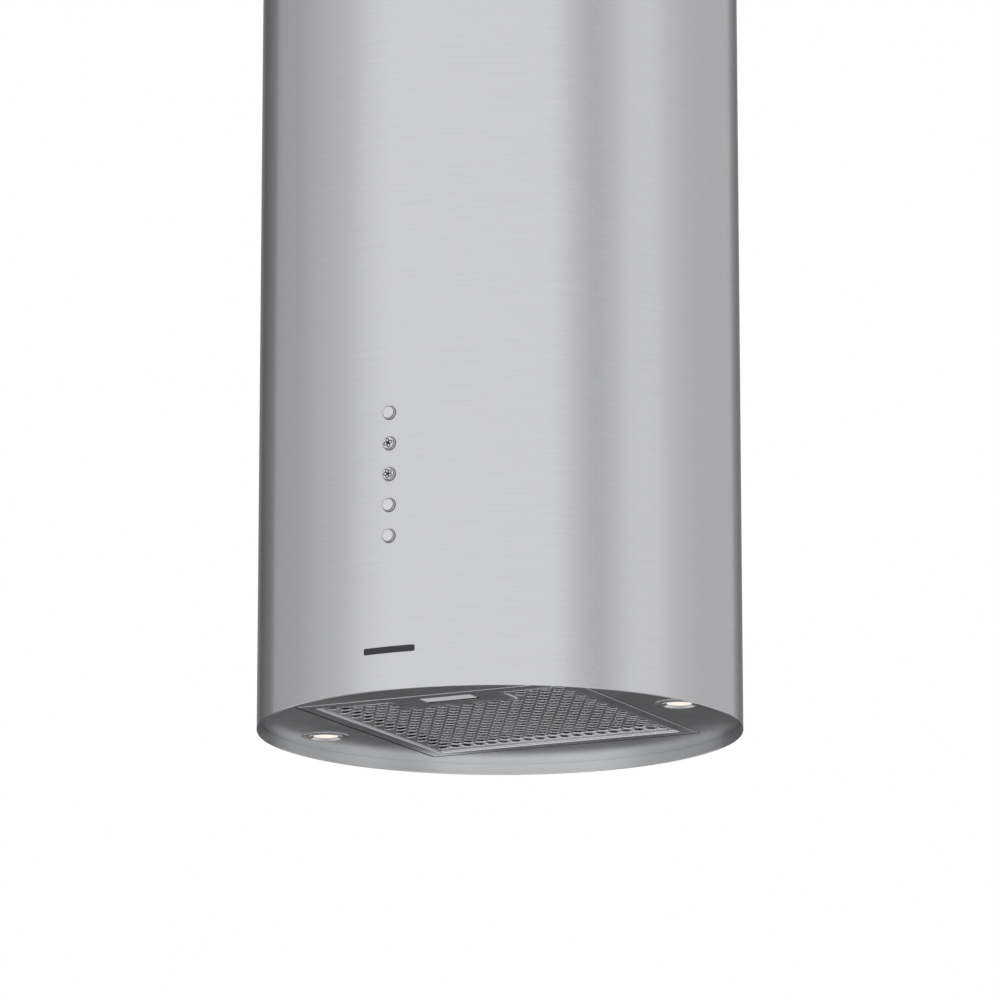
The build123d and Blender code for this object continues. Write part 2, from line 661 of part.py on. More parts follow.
def control_box():
    box = block_h((-BOX_X, BOX_X), BOX_Y, BOX_H)
    box -= block_h((-BOX_X + BOX_SHEET, BOX_X - BOX_SHEET), (BOX_Y[0] + BOX_SHEET, BOX_Y[1] + 1),
                   (BOX_H[0] + BOX_SHEET, BOX_H[1] - BOX_SHEET))
    for x, h in lid_screw_places():
        post = block_h((x - 3, x + 3), (BOX_Y[0], BOX_Y[1]), (h - 3, h + 3))
        box += post - round_y(1.5, (BOX_Y[1] - 10, BOX_Y[1] + 1), x, h)
    hole = LEAD_RADIUS + 0.6
    box -= round_x(hole, (BOX_X - 5, BOX_X + 5), LEAD_LINE, SWITCH_LEAD_H)
    box -= round_x(hole, (-BOX_X - 5, BOX_X + 5), LEAD_LINE, LAMP_LEAD_H)
    box -= round_y(hole, (110, 118), FAN_X, MOTOR_LEAD_H)
    return box - round_z(6, (BOX_H[1] - 3, BOX_H[1] + 3), GLAND_X, sum(BOX_Y) / 2)


def control_box_lid():
    lid = block_h((-BOX_X, BOX_X), (BOX_Y[1], BOX_Y[1] + BOX_SHEET), BOX_H)
    return lid - [round_y(1.5, (BOX_Y[1] - 1, BOX_Y[1] + 3), x, h) for x, h in lid_screw_places()]


def transformer():
    """Iron core with a wound bobbin."""
    core = block_h((-38, 12), (BOX_Y[0] + BOX_SHEET, 150), (76, 116))
    coil = block_h((-42, 16), (122, 143), (82, 110))
    return core + coil


def capacitor():
    return round_z(13, (120, 170), -36, 132)


def terminal_block():
    block = block_h((-12, 48), (BOX_Y[0] + BOX_SHEET, 132), (140, 160))
    return block - [round_z(2, (150, 161), -6 + 12 * i, 126) for i in range(5)]


def cable_gland():
    """Threaded gland with its hexagonal cap, where the supply cable enters."""
    x = GLAND_X
    y = sum(BOX_Y) / 2
    top = BOX_H[1]
    gland = round_z(6, (top - 6, top + 1), x, y)
    gland += extrude(Pos(x, y, z_of(top)) * RegularPolygon(8.5, 6), 5)
    gland += round_z(7, (top + 5, top + 18), x, y)
    gland += extrude(Pos(x, y, z_of(top - 5)) * RegularPolygon(8.5, 6), 4)
    return gland - round_z(3.5, (top - 10, top + 20), x, y)


def lead(points, radius):
    """A lead along a route of straight runs joined by arcs of one radius."""
    route = FilletPolyline(*[(x, y, z_of(h)) for x, y, h in points], radius=radius)
    section = Plane(origin=route @ 0, z_dir=route % 0) * Circle(LEAD_RADIUS)
    return sweep(section, path=route)


def lead_switch():
    h = SWITCH_LEAD_H
    return lead([(0, BOARD_FACE_Y + 1.6, 112), (0, -146, 112), (0, -LEAD_LINE, h), (LEAD_LINE, -LEAD_LINE, h),
                 (LEAD_LINE, LEAD_LINE, h), (BOX_X - 6, LEAD_LINE, h)], 7)


def lead_lamps():
    h = LAMP_LEAD_H
    return [lead([(side * LAMP_X, 0, LAMP_TOP_H), (side * LAMP_X, 0, h), (side * LEAD_LINE, 0, h),
                  (side * LEAD_LINE, LEAD_LINE, h), (side * (BOX_X - 6), LEAD_LINE, h)], 12)
            for side in (-1, 1)]


def lead_motor():
    return lead([(FAN_X, MOTOR_Y[0], FAN_H - 30), (FAN_X, -92, FAN_H - 30), (FAN_X, -92, MOTOR_LEAD_H),
                 (FAN_X, BOX_Y[0] + 6, MOTOR_LEAD_H)], 14)


def lead_clips():
    """P-clips that hold the leads to the casing."""
    reach = (CASING_HALF, LEAD_LINE + LEAD_RADIUS + 1.5)
    hold = LEAD_RADIUS + 1.5
    clips = []
    for side, y, h in ((1, -60, SWITCH_LEAD_H), (1, 40, SWITCH_LEAD_H), (1, 80, LAMP_LEAD_H),
                       (-1, 40, LAMP_LEAD_H), (-1, 80, LAMP_LEAD_H)):
        clip = block_h(mirrored(reach, side), (y - 4, y + 4), (h - hold, h + hold))
        clips.append(clip - round_y(LEAD_RADIUS, (y - 5, y + 5), side * LEAD_LINE, h))
    front = block_h((56, 64), (-reach[1], -reach[0]), (SWITCH_LEAD_H - hold, SWITCH_LEAD_H + hold))
    return clips + [front - round_x(LEAD_RADIUS, (50, 70), -LEAD_LINE, SWITCH_LEAD_H)]


def hood_screws():
    """Screws of the outlet flange and of the control box lid."""
    screws = []
    flange_top = SPIGOT_BASE_H + 1.2
    for x, y in flange_screw_places():
        shank = round_z(1.6, (CASING_TOP_H - 4, flange_top), x, y)
        screws.append(shank + round_z(3.2, (flange_top, flange_top + 2), x, y))
    lid_face = BOX_Y[1] + BOX_SHEET
    for x, h in lid_screw_places():
        shank = round_y(1.5, (BOX_Y[1] - 8, lid_face), x, h)
        screws.append(shank + round_y(3.0, (lid_face, lid_face + 2), x, h))
    return screws


# ---------------------------------------------------------------- every node

def nodes():
    parts = {
        "ceiling_plate": ceiling_plate(),
        "upper_posts": upper_posts(),
        "post_clamp_screws": post_clamp_screws(),
        "upper_tube": upper_tube(),
        "upper_tube_brackets": upper_tube_brackets(),
        "upper_tube_screws": upper_tube_screws(),
        "shell": shell(),
        "bottom_panel": bottom_panel(),
        "filter_seat": filter_seat(),
        "badge": badge(),
        "filter_frame": filter_frame(),
        "filter_sheet_lower": filter_sheet_lower(),
        "filter_mesh": filter_mesh(),
        "filter_sheet_upper": filter_sheet_upper(),
        "filter_hinge_pins": filter_hinge_pins(),
        "latch_cover": latch_cover(),
        "latch_slider": latch_slider(),
        "latch_tongue": latch_tongue(),
        "latch_spring": latch_spring(),
        "switch_housing": switch_housing(),
        "switch_board": switch_board(),
        "casing_body": casing_body(),
        "casing_top": casing_top(),
        "lower_posts": lower_posts(),
        "outlet_spigot": outlet_spigot(),
        "outlet_transition": outlet_transition(),
        "damper_spindle": damper_spindle(),
        "damper_flap_front": damper_flap(-1, (-58, -16, 30)),
        "damper_flap_back": damper_flap(1, (-30, 16, 58)),
        "scroll_front": scroll_half(-1),
        "scroll_back": scroll_half(1),
        "inlet_ring_front": inlet_ring(-1),
        "inlet_ring_back": inlet_ring(1),
        "impeller": impeller(),
        "motor_shaft": motor_shaft(),
        "motor_stator": motor_stator(),
        "motor_bracket": motor_bracket(),
        "motor_dampers": motor_dampers(),
        "control_box": control_box(),
        "control_box_lid": control_box_lid(),
        "transformer": transformer(),
        "capacitor": capacitor(),
        "terminal_block": terminal_block(),
        "cable_gland": cable_gland(),
        "lead_switch": lead_switch(),
        "lead_lamps": lead_lamps(),
        "lead_motor": lead_motor(),
        "lead_clips": lead_clips(),
        "hood_screws": hood_screws(),
    }
    for name, side in (("left", -1), ("right", 1)):
        parts["lamp_bezel_" + name] = lamp_bezel(side)
        parts["lamp_lens_" + name] = lamp_lens(side)
        parts["lamp_body_" + name] = lamp_body(side)
    for number, h in enumerate(key_heights(), start=1):
        parts[f"key_{number}"] = key(h)
    return parts


def main():
    os.makedirs("parts", exist_ok=True)
    for name, shape in nodes().items():
        whole = Compound(children=shape) if isinstance(shape, list) else shape
        export_step(whole, f"parts/{name}.step")


main()
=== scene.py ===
import math

import bmesh
import bpy
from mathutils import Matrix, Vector


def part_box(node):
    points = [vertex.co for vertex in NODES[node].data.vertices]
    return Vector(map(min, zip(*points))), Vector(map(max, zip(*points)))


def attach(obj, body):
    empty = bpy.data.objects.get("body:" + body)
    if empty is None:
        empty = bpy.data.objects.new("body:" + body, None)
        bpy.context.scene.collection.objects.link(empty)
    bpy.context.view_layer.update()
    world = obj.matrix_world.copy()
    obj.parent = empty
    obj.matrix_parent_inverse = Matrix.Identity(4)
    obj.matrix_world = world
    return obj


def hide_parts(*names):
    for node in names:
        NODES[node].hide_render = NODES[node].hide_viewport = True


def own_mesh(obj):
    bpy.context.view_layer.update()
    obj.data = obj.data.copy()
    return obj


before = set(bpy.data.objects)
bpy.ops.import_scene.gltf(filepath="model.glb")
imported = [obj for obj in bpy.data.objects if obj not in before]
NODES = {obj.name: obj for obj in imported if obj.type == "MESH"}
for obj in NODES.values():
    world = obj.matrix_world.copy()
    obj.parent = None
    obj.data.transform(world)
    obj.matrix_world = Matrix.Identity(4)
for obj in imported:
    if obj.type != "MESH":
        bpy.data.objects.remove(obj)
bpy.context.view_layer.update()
SCENE = bpy.context.scene
MM = 0.001
TAU = 2 * math.pi

# ---------------------------------------------------------------- sizes read from the frame

SHELL_LOW, SHELL_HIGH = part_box("shell")
TUBE_LOW, TUBE_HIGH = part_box("upper_tube")
PANEL_LOW, PANEL_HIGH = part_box("bottom_panel")
FILTER_LOW, FILTER_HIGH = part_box("filter_frame")
SHEET_LOW, SHEET_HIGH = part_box("filter_sheet_lower")
CORE_LOW, CORE_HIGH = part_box("filter_mesh")
BADGE_LOW, BADGE_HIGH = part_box("badge")
RIM_Z = SHELL_LOW.z
KEYS = ["key_1", "key_2", "key_3", "key_4", "key_5"]

SHELL_WALL = 1.2 * MM
TUBE_WALL = 0.8 * MM
KEY_HOLE = 5.5 * MM
SHEET_GAUGE = 0.6 * MM


def middle(node):
    """The centre of a CAD node's box."""
    low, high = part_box(node)
    return (low + high) / 2


# ---------------------------------------------------------------- material nodes

class Finish:
    """A Principled material, to which procedural nodes are added one call at a time."""

    def __init__(self, name, color, metallic=0.0, roughness=0.5, **fixed):
        self.material = bpy.data.materials.new(name)
        self.material.use_nodes = True
        self.tree = self.material.node_tree
        self.shader = self.tree.nodes["Principled BSDF"]
        self.color = color
        self.shader.inputs["Base Color"].default_value = (*color, 1)
        self.shader.inputs["Metallic"].default_value = metallic
        self.shader.inputs["Roughness"].default_value = roughness
        for socket, value in fixed.items():
            self.shader.inputs[socket.replace("_", " ")].default_value = value

    def add(self, kind, inputs=(), **settings):
        """A new node. inputs are (socket, value or other node's output) pairs."""
        made = self.tree.nodes.new(kind)
        for name, value in settings.items():
            setattr(made, name, value)
        for socket, value in inputs:
            self.put(made.inputs[socket], value)
        return made

    def put(self, socket, value):
        if isinstance(value, bpy.types.NodeSocket):
            self.tree.links.new(value, socket)
        else:
            socket.default_value = value

    def noise(self, scale, detail=2.0):
        """Noise with its own scale along each axis, in features per metre."""
        place = self.add("ShaderNodeTexCoord").outputs["Object"]
        scaled = self.add("ShaderNodeMapping", [("Vector", place), ("Scale", scale)])
        grain = self.add("ShaderNodeTexNoise", [
            ("Vector", scaled.outputs["Vector"]), ("Scale", 1.0), ("Detail", detail)])
        return grain.outputs["Fac"]

    def tube_noise(self, around, upward, lean=0.0, detail=2.0):
        """Noise on an upright tube's wall, in features per metre around it and up it, turned by a lean."""
        place = self.add("ShaderNodeSeparateXYZ", [(0, self.add("ShaderNodeTexCoord").outputs["Object"])])
        turn = self.math("ARCTAN2", place.outputs["X"], self.math("MULTIPLY", place.outputs["Y"], -1.0))
        unrolled = self.add("ShaderNodeCombineXYZ", [
            ("X", self.math("MULTIPLY", turn, SHELL_HIGH.x)), ("Y", place.outputs["Z"])])
        leaning = self.add("ShaderNodeMapping", [("Vector", unrolled.outputs[0]), ("Rotation", (0, 0, lean))])
        scaled = self.add("ShaderNodeMapping", [
            ("Vector", leaning.outputs[0]), ("Scale", (around, upward, 1))])
        grain = self.add("ShaderNodeTexNoise", [
            ("Vector", scaled.outputs["Vector"]), ("Scale", 1.0), ("Detail", detail), ("Roughness", 0.6)])
        return grain.outputs["Fac"]

    def math(self, operation, first, second=0.0, third=0.0):
        return self.add("ShaderNodeMath", [(0, first), (1, second), (2, third)],
                        operation=operation).outputs[0]

    def spread(self, value, low, high):
        """Stretches a noise value from 0.3..0.7 to low..high."""
        made = self.add("ShaderNodeMapRange", [
            ("Value", value), ("From Min", 0.3), ("From Max", 0.7), ("To Min", low), ("To Max", high)])
        return made.outputs["Result"]

    def tint(self, value, low, high):
        """Base colour varied in brightness from low to high times its own, by a noise value."""
        shade = self.spread(value, low, high)
        scaled = self.add("ShaderNodeVectorMath", [(0, self.color), ("Scale", shade)], operation="SCALE")
        self.put(self.shader.inputs["Base Color"], scaled.outputs[0])

    def gloss(self, value, low, high):
        """Roughness varied between low and high, by a noise value."""
        self.put(self.shader.inputs["Roughness"], self.spread(value, low, high))

    def relief(self, value, depth):
        """Surface relief of that depth in metres."""
        bump = self.add("ShaderNodeBump", [("Height", value), ("Distance", depth), ("Strength", 1.0)])
        self.put(self.shader.inputs["Normal"], bump.outputs["Normal"])


# ---------------------------------------------------------------- the materials

STEEL = (0.600, 0.603, 0.612)


def brushed_steel(name, low=0.13, high=0.17, color=STEEL, anisotropy=1.0):
    """Stainless steel tube with hairlines around it, faint longer streaks and a few leaning scratches."""
    finish = Finish(name, color, 1.0, (low + high) / 2, Anisotropic=anisotropy, Anisotropic_Rotation=0.25)
    hairs = finish.tube_noise(26, 1300, detail=4.0)
    streaks = finish.tube_noise(5, 260, detail=3.0)
    both = finish.math("MULTIPLY_ADD", hairs, 0.75, finish.math("MULTIPLY", streaks, 0.25))
    finish.tint(both, 0.970, 1.018)
    finish.gloss(both, high, low)
    scratches = finish.tube_noise(45, 1500, lean=0.75)
    deepest = finish.math("MAXIMUM", finish.math("SUBTRACT", scratches, 0.56))
    sparse = finish.math("MULTIPLY", deepest, 16.0)
    finish.relief(finish.math("ADD", hairs, sparse), 0.000008)
    tangent = finish.add("ShaderNodeTangent", direction_type="RADIAL", axis="Z")
    finish.put(finish.shader.inputs["Tangent"], tangent.outputs["Tangent"])
    return finish.material


def satin_steel(name, color, low, high):
    """Flat stainless steel with a soft mirror finish and a faint rolling grain."""
    finish = Finish(name, color, 1.0, (low + high) / 2)
    cloud = finish.noise((14, 14, 14), detail=4.0)
    rolled = finish.noise((9, 420, 420), detail=3.0)
    finish.tint(rolled, 0.94, 1.05)
    finish.gloss(cloud, low, high)
    finish.relief(rolled, 0.000004)
    return finish.material


def galvanised_steel():
    """Zinc-coated sheet with its crystal spangle."""
    finish = Finish("galvanised", (0.50, 0.51, 0.52), 1.0, 0.45)
    place = finish.add("ShaderNodeTexCoord").outputs["Object"]
    spangle = finish.add("ShaderNodeTexVoronoi", [("Vector", place), ("Scale", 130.0), ("Randomness", 1.0)])
    shade = finish.add("ShaderNodeSeparateColor", [("Color", spangle.outputs["Color"])]).outputs[0]
    level = finish.math("MULTIPLY_ADD", shade, 0.4, 0.3)
    finish.tint(level, 0.80, 1.16)
    finish.gloss(level, 0.36, 0.52)
    finish.relief(finish.noise((400, 400, 400), 3.0), 0.00001)
    return finish.material


def metal(name, color, low, high, grain=600, depth=0.000006):
    """Plain metal with a fine speck and slow changes of sheen."""
    finish = Finish(name, color, 1.0, (low + high) / 2)
    speck = finish.noise((grain, grain, grain), detail=3.0)
    finish.tint(speck, 0.90, 1.06)
    finish.gloss(finish.noise((90, 90, 90), 2.0), low, high)
    finish.relief(speck, depth)
    return finish.material


def plastic(name, color, low, high, grain=1500, depth=0.00002):
    """Moulded plastic with a fine eroded grain and soft sheen variation."""
    finish = Finish(name, color, 0.0, (low + high) / 2, Specular_IOR_Level=0.45)
    pores = finish.noise((grain, grain, grain), detail=2.0)
    finish.tint(finish.noise((45, 45, 45), 3.0), 0.92, 1.08)
    finish.gloss(pores, low, high)
    finish.relief(pores, depth)
    return finish.material


def laminated_iron():
    """Stacked core sheets, with a lacquered edge."""
    finish = Finish("core_iron", (0.12, 0.12, 0.13), 0.8, 0.45)
    place = finish.add("ShaderNodeTexCoord").outputs["Object"]
    sheets = finish.add("ShaderNodeTexWave", [("Vector", place), ("Scale", 320.0), ("Distortion", 0.4)],
                        wave_type="BANDS", bands_direction="Z").outputs["Fac"]
    finish.tint(sheets, 0.55, 1.3)
    finish.relief(sheets, 0.00015)
    return finish.material


def circuit_board():
    """Green lacquer over copper tracks."""
    finish = Finish("board_green", (0.02, 0.13, 0.05), 0.0, 0.32, Coat_Weight=0.4, Coat_Roughness=0.15)
    place = finish.add("ShaderNodeTexCoord").outputs["Object"]
    upright_place = finish.add("ShaderNodeMapping", [("Vector", place), ("Rotation", (math.pi / 2, 0, 0))])
    tracks = finish.add("ShaderNodeTexBrick", [
        ("Vector", upright_place.outputs[0]), ("Scale", 60.0), ("Mortar Size", 0.06),
        ("Color1", (0.3, 0.3, 0.3, 1)), ("Color2", (0.45, 0.45, 0.45, 1)), ("Mortar", (0.7, 0.7, 0.7, 1))])
    level = finish.add("ShaderNodeSeparateColor", [("Color", tracks.outputs["Color"])]).outputs[0]
    finish.tint(level, 0.7, 1.9)
    finish.relief(level, 0.00005)
    return finish.material


def lit_lens():
    """Frosted lens over a warm white lamp, with a fine grain and slightly uneven light."""
    finish = Finish("lens_warm", (0.10, 0.095, 0.09), 0.0, 0.45, Specular_IOR_Level=0.1)
    finish.shader.inputs["Emission Color"].default_value = (1.0, 0.905, 0.79, 1)
    level = finish.noise((220, 220, 220), detail=3.0)
    finish.put(finish.shader.inputs["Emission Strength"], finish.spread(level, 0.90, 0.98))
    finish.relief(finish.noise((900, 900, 900), 2.0), 0.00003)
    return finish.material


def make_materials():
    """One Blender material for each material slot of the record, by the slot's name."""
    return {
        "shell_steel": brushed_steel("shell_steel"),
        "panel_steel": satin_steel("panel_steel", (0.84, 0.845, 0.85), 0.15, 0.22),
        "filter_steel": satin_steel("filter_steel", (0.76, 0.765, 0.775), 0.15, 0.22),
        "filter_mesh": metal("filter_mesh", (0.62, 0.625, 0.63), 0.16, 0.26, 900),
        "latch_metal": metal("latch_metal", (0.92, 0.92, 0.925), 0.55, 0.68, 1200),
        "spring_steel": metal("spring_steel", (0.45, 0.45, 0.46), 0.25, 0.35),
        "pin_steel": metal("pin_steel", (0.62, 0.62, 0.63), 0.18, 0.28),
        "galvanised": galvanised_steel(),
        "screw_zinc": metal("screw_zinc", (0.66, 0.67, 0.66), 0.25, 0.40, 500),
        "moulded_black": plastic("moulded_black", (0.018, 0.018, 0.019), 0.38, 0.52),
        "scroll_plastic": plastic("scroll_plastic", (0.055, 0.055, 0.058), 0.42, 0.55),
        "flap_plastic": plastic("flap_plastic", (0.085, 0.085, 0.09), 0.40, 0.55),
        "damper_rubber": plastic("damper_rubber", (0.012, 0.012, 0.012), 0.65, 0.80, 700, 0.00004),
        "motor_metal": metal("motor_metal", (0.40, 0.41, 0.42), 0.35, 0.50, 300, 0.00002),
        "core_iron": laminated_iron(),
        "capacitor_white": plastic("capacitor_white", (0.72, 0.72, 0.70), 0.30, 0.42, 900, 0.00001),
        "terminal_white": plastic("terminal_white", (0.68, 0.67, 0.62), 0.35, 0.48),
        "board_green": circuit_board(),
        "lead_grey": plastic("lead_grey", (0.16, 0.16, 0.165), 0.45, 0.60, 500, 0.00003),
        "key_silver": metal("key_silver", (0.76, 0.762, 0.768), 0.42, 0.52, 1800, 0.000003),
        "badge_dark": plastic("badge_dark", (0.02, 0.02, 0.022), 0.25, 0.35, 2500, 0.000006),
        "bezel_steel": metal("bezel_steel", (0.52, 0.525, 0.53), 0.16, 0.26, 700, 0.000003),
        "lens_warm": lit_lens(),
        "lamp_metal": metal("lamp_metal", (0.55, 0.55, 0.56), 0.35, 0.50),
    }


MATERIALS = make_materials()
TUBE_INSIDE = brushed_steel("tube_inside", 0.26, 0.34, (0.56, 0.565, 0.57), 0.6)
# Black material that paints the shadow in the gap round the filter opening and in the keys' face grooves.
PAINTED_GAP_SHADE = plastic("painted_gap_shade", (0.012, 0.012, 0.012), 0.6, 0.7, 1500)
ICON_INK = plastic("icon_ink", (0.012, 0.012, 0.013), 0.35, 0.45, 2500, 0.000003)

# ---------------------------------------------------------------- mesh helpers

def add_piece(name, bm, body, slot, replaced=(), material=None, sharp_deg=32, weighted=True):
    """Turns a bmesh into a smooth shaded piece that rides on a body, in place of the CAD nodes replaced."""
    mesh = bpy.data.meshes.new(name)
    bm.normal_update()
    bm.to_mesh(mesh)
    bm.free()
    mesh.shade_smooth()
    mesh.set_sharp_from_angle(angle=math.radians(sharp_deg))
    mesh.materials.append(material or MATERIALS[slot])
    piece = bpy.data.objects.new(name, mesh)
    SCENE.collection.objects.link(piece)
    if weighted:
        piece.modifiers.new("even_shading", "WEIGHTED_NORMAL").keep_sharp = True
    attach(piece, body)
    if replaced:
        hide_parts(*replaced)
    return piece


def soften(outline, radius, steps=3, closed=False):
    """Rounds the corners of an outline of (a, b) points."""
    points = [Vector(point) for point in outline]
    count = len(points)
    softened = []
    for index, corner in enumerate(points):
        if not closed and index in (0, count - 1):
            softened.append(corner)
            continue
        before, after = points[index - 1], points[(index + 1) % count]
        cut = min(radius, (before - corner).length / 2.1, (after - corner).length / 2.1)
        start = corner + (before - corner).normalized() * cut
        end = corner + (after - corner).normalized() * cut
        for step in range(steps + 1):
            t = step / steps
            softened.append(start * (1 - t) ** 2 + corner * 2 * t * (1 - t) + end * t ** 2)
    return [tuple(point) for point in softened]


def skin(bm, rings, around=True, along=False):
    """Quads between rings of vertices. around closes each ring, along joins the last ring to the first."""
    pairs = list(zip(rings, rings[1:])) + ([(rings[-1], rings[0])] if along else [])
    for first, second in pairs:
        count = len(first)
        for k in range(count if around else count - 1):
            corners = [first[k], first[(k + 1) % count], second[(k + 1) % count], second[k]]
            unique = list(dict.fromkeys(corners))
            if len(unique) > 2:
                bm.faces.new(unique)


def lathe(bm, outline, place, segments=64, closed=False):
    """Turns an outline of (radius, along) points. place(a, b, along) gives the point in the row frame."""
    rings = []
    for radius, along in outline:
        if radius < 1e-9:
            rings.append([bm.verts.new(place(0.0, 0.0, along))] * segments)
            continue
        turns = [TAU * k / segments for k in range(segments)]
        rings.append([bm.verts.new(place(radius * math.cos(t), radius * math.sin(t), along)) for t in turns])
    skin(bm, rings, along=closed)


def upright(centre):
    """Placement for a lathe about a vertical axis."""
    return lambda a, b, along: Vector((centre.x + a, centre.y + b, along))


def facing_front(centre):
    """Placement for a lathe about an axis along Y."""
    return lambda a, b, along: Vector((centre.x + a, along, centre.z + b))


def face_outward(bm):
    bmesh.ops.recalc_face_normals(bm, faces=bm.faces[:])


def cap_ends(bm, rings):
    bm.faces.new(rings[0])
    bm.faces.new(rings[-1])


# ---------------------------------------------------------------- rolled tubes with punched openings

def round_hole(u, v, radius):
    """Maps a point on a square's edge (u, v within 1) to a circle."""
    quarter = math.pi / 4
    if abs(v) > 0.999:
        angle = math.copysign(2 * quarter - u * quarter, v)
    elif u > 0:
        angle = v * quarter
    else:
        angle = math.pi - v * quarter
    return radius * math.cos(angle), radius * math.sin(angle)


def long_slot(u, v, radius, straight):
    """Maps a point on a square's edge to an upright slot with round ends."""
    if abs(v) > 0.999:
        angle = math.pi / 2 * (1 - u)
        return radius * math.cos(angle), math.copysign(straight + radius * math.sin(angle), v)
    return math.copysign(radius, u), v * straight


class Opening:
    """A hole in a rolled sheet: the patch of sheet round it, and its outline at an inset."""

    def __init__(self, angle, z, half_angle, half_height, outline, columns=6, rows=6):
        self.angle, self.z = angle, z
        self.half_angle, self.half_height = half_angle, half_height
        self.outline = outline
        self.columns, self.rows = columns, rows

    def angle_lines(self):
        return [self.angle + self.half_angle * (2 * k / self.columns - 1) for k in range(self.columns + 1)]

    def height_lines(self):
        return [self.z + self.half_height * (2 * k / self.rows - 1) for k in range(self.rows + 1)]

    def covers(self, angle, z):
        turned = (angle - self.angle + math.pi) % TAU - math.pi
        return abs(turned) < self.half_angle and abs(z - self.z) < self.half_height


def merged(values, tolerance):
    """Sorted values with near repeats dropped."""
    kept = []
    for value in sorted(values):
        if not kept or value - kept[-1] > tolerance:
            kept.append(value)
    return kept


def punched_tube(name, radius, wall, z_low, z_high, openings, body, slot, replaced):
    """A rolled sheet tube with rounded ends and a broken edge round each opening."""
    facet = math.radians(1.5)
    angle_lines = [k * facet for k in range(round(TAU / facet))]
    height_lines = [z_low + wall / 2, z_high - wall / 2]
    for opening in openings:
        angle_lines = [a for a in angle_lines if not opening.covers(a, opening.z)]
        angle_lines += [line % TAU for line in opening.angle_lines()]
        height_lines += opening.height_lines()
    angle_lines = merged(angle_lines, 1e-5)
    height_lines = merged(height_lines, 1e-6)
    count = len(angle_lines)
    bm = bmesh.new()

    def point(angle, z, reach):
        return Vector((reach * math.cos(angle), reach * math.sin(angle), z))

    outer = [[bm.verts.new(point(a, z, radius)) for a in angle_lines] for z in height_lines]
    inner = [[bm.verts.new(point(a, z, radius - wall)) for a in angle_lines] for z in height_lines]
    for row, (z, z_next) in enumerate(zip(height_lines, height_lines[1:])):
        for col, angle in enumerate(angle_lines):
            mid_angle = angle + ((angle_lines[(col + 1) % count] - angle) % TAU) / 2
            mid_z = (z + z_next) / 2
            if any(opening.covers(mid_angle, mid_z) for opening in openings):
                continue
            after = (col + 1) % count
            for wall_face in (outer, inner):
                bm.faces.new([wall_face[row][col], wall_face[row][after],
                              wall_face[row + 1][after], wall_face[row + 1][col]])

    def edge_rings(z, down):
        rings = []
        for k in range(1, 4):
            turn = math.pi * k / 4
            reach = radius - wall / 2 + wall / 2 * math.cos(turn)
            level = z - down * wall / 2 * math.sin(turn)
            rings.append([bm.verts.new(point(a, level, reach)) for a in angle_lines])
        return rings

    skin(bm, [outer[0], *edge_rings(height_lines[0], 1), inner[0]])
    skin(bm, [outer[-1], *edge_rings(height_lines[-1], -1), inner[-1]])

    def nearest(lines, value):
        return min(range(len(lines)), key=lambda k: abs(lines[k] - value))

    for opening in openings:
        cols = [nearest(angle_lines, line % TAU) for line in opening.angle_lines()]
        rows = [nearest(height_lines, line) for line in opening.height_lines()]
        walk = [(c, rows[0]) for c in cols[:-1]] + [(cols[-1], r) for r in rows[:-1]]
        walk += [(c, rows[-1]) for c in cols[:0:-1]] + [(cols[0], r) for r in rows[:0:-1]]

        def local(c, r):
            turned = (angle_lines[c] - opening.angle + math.pi) % TAU - math.pi
            return turned / opening.half_angle, (height_lines[r] - opening.z) / opening.half_height

        def hole_ring(extra, reach):
            ring = []
            for c, r in walk:
                x, z = opening.outline(*local(c, r), extra)
                ring.append(bm.verts.new(point(opening.angle + x / radius, opening.z + z, reach)))
            return ring

        broken = 0.2 * MM
        skin(bm, [[outer[r][c] for c, r in walk], hole_ring(broken, radius), hole_ring(0, radius - broken),
                  hole_ring(0, radius - wall), [inner[r][c] for c, r in walk]])
    face_outward(bm)
    piece = add_piece(name, bm, body, slot, replaced, weighted=False, sharp_deg=50)
    finish_rolled_faces(piece.data, radius, radius - wall)
    return piece


def finish_rolled_faces(mesh, outer, inner):
    """Gives the rolled faces the normals of a true cylinder, and the inside its unbrushed finish."""
    mesh.materials.append(TUBE_INSIDE)
    normals = [Vector(corner.vector) for corner in mesh.corner_normals]
    for face in mesh.polygons:
        reaches = [mesh.vertices[v].co.xy.length for v in face.vertices]
        for reach, sign in ((outer, 1), (inner, -1)):
            if all(abs(r - reach) < 2e-6 for r in reaches):
                face.material_index = 0 if sign == 1 else 1
                for loop in face.loop_indices:
                    outward = mesh.vertices[mesh.loops[loop].vertex_index].co.xy.normalized()
                    normals[loop] = Vector((sign * outward.x, sign * outward.y, 0))
    mesh.normals_split_custom_set(normals)


def front_key_openings():
    """The five round key holes down the front of the shell."""
    front, half_angle, half_height = 1.5 * math.pi, math.radians(3), 12 * MM

    def hole(u, v, extra):
        return round_hole(u, v, KEY_HOLE + extra)

    return [Opening(front, middle(key).z, half_angle, half_height, hole, 8, 8) for key in KEYS]


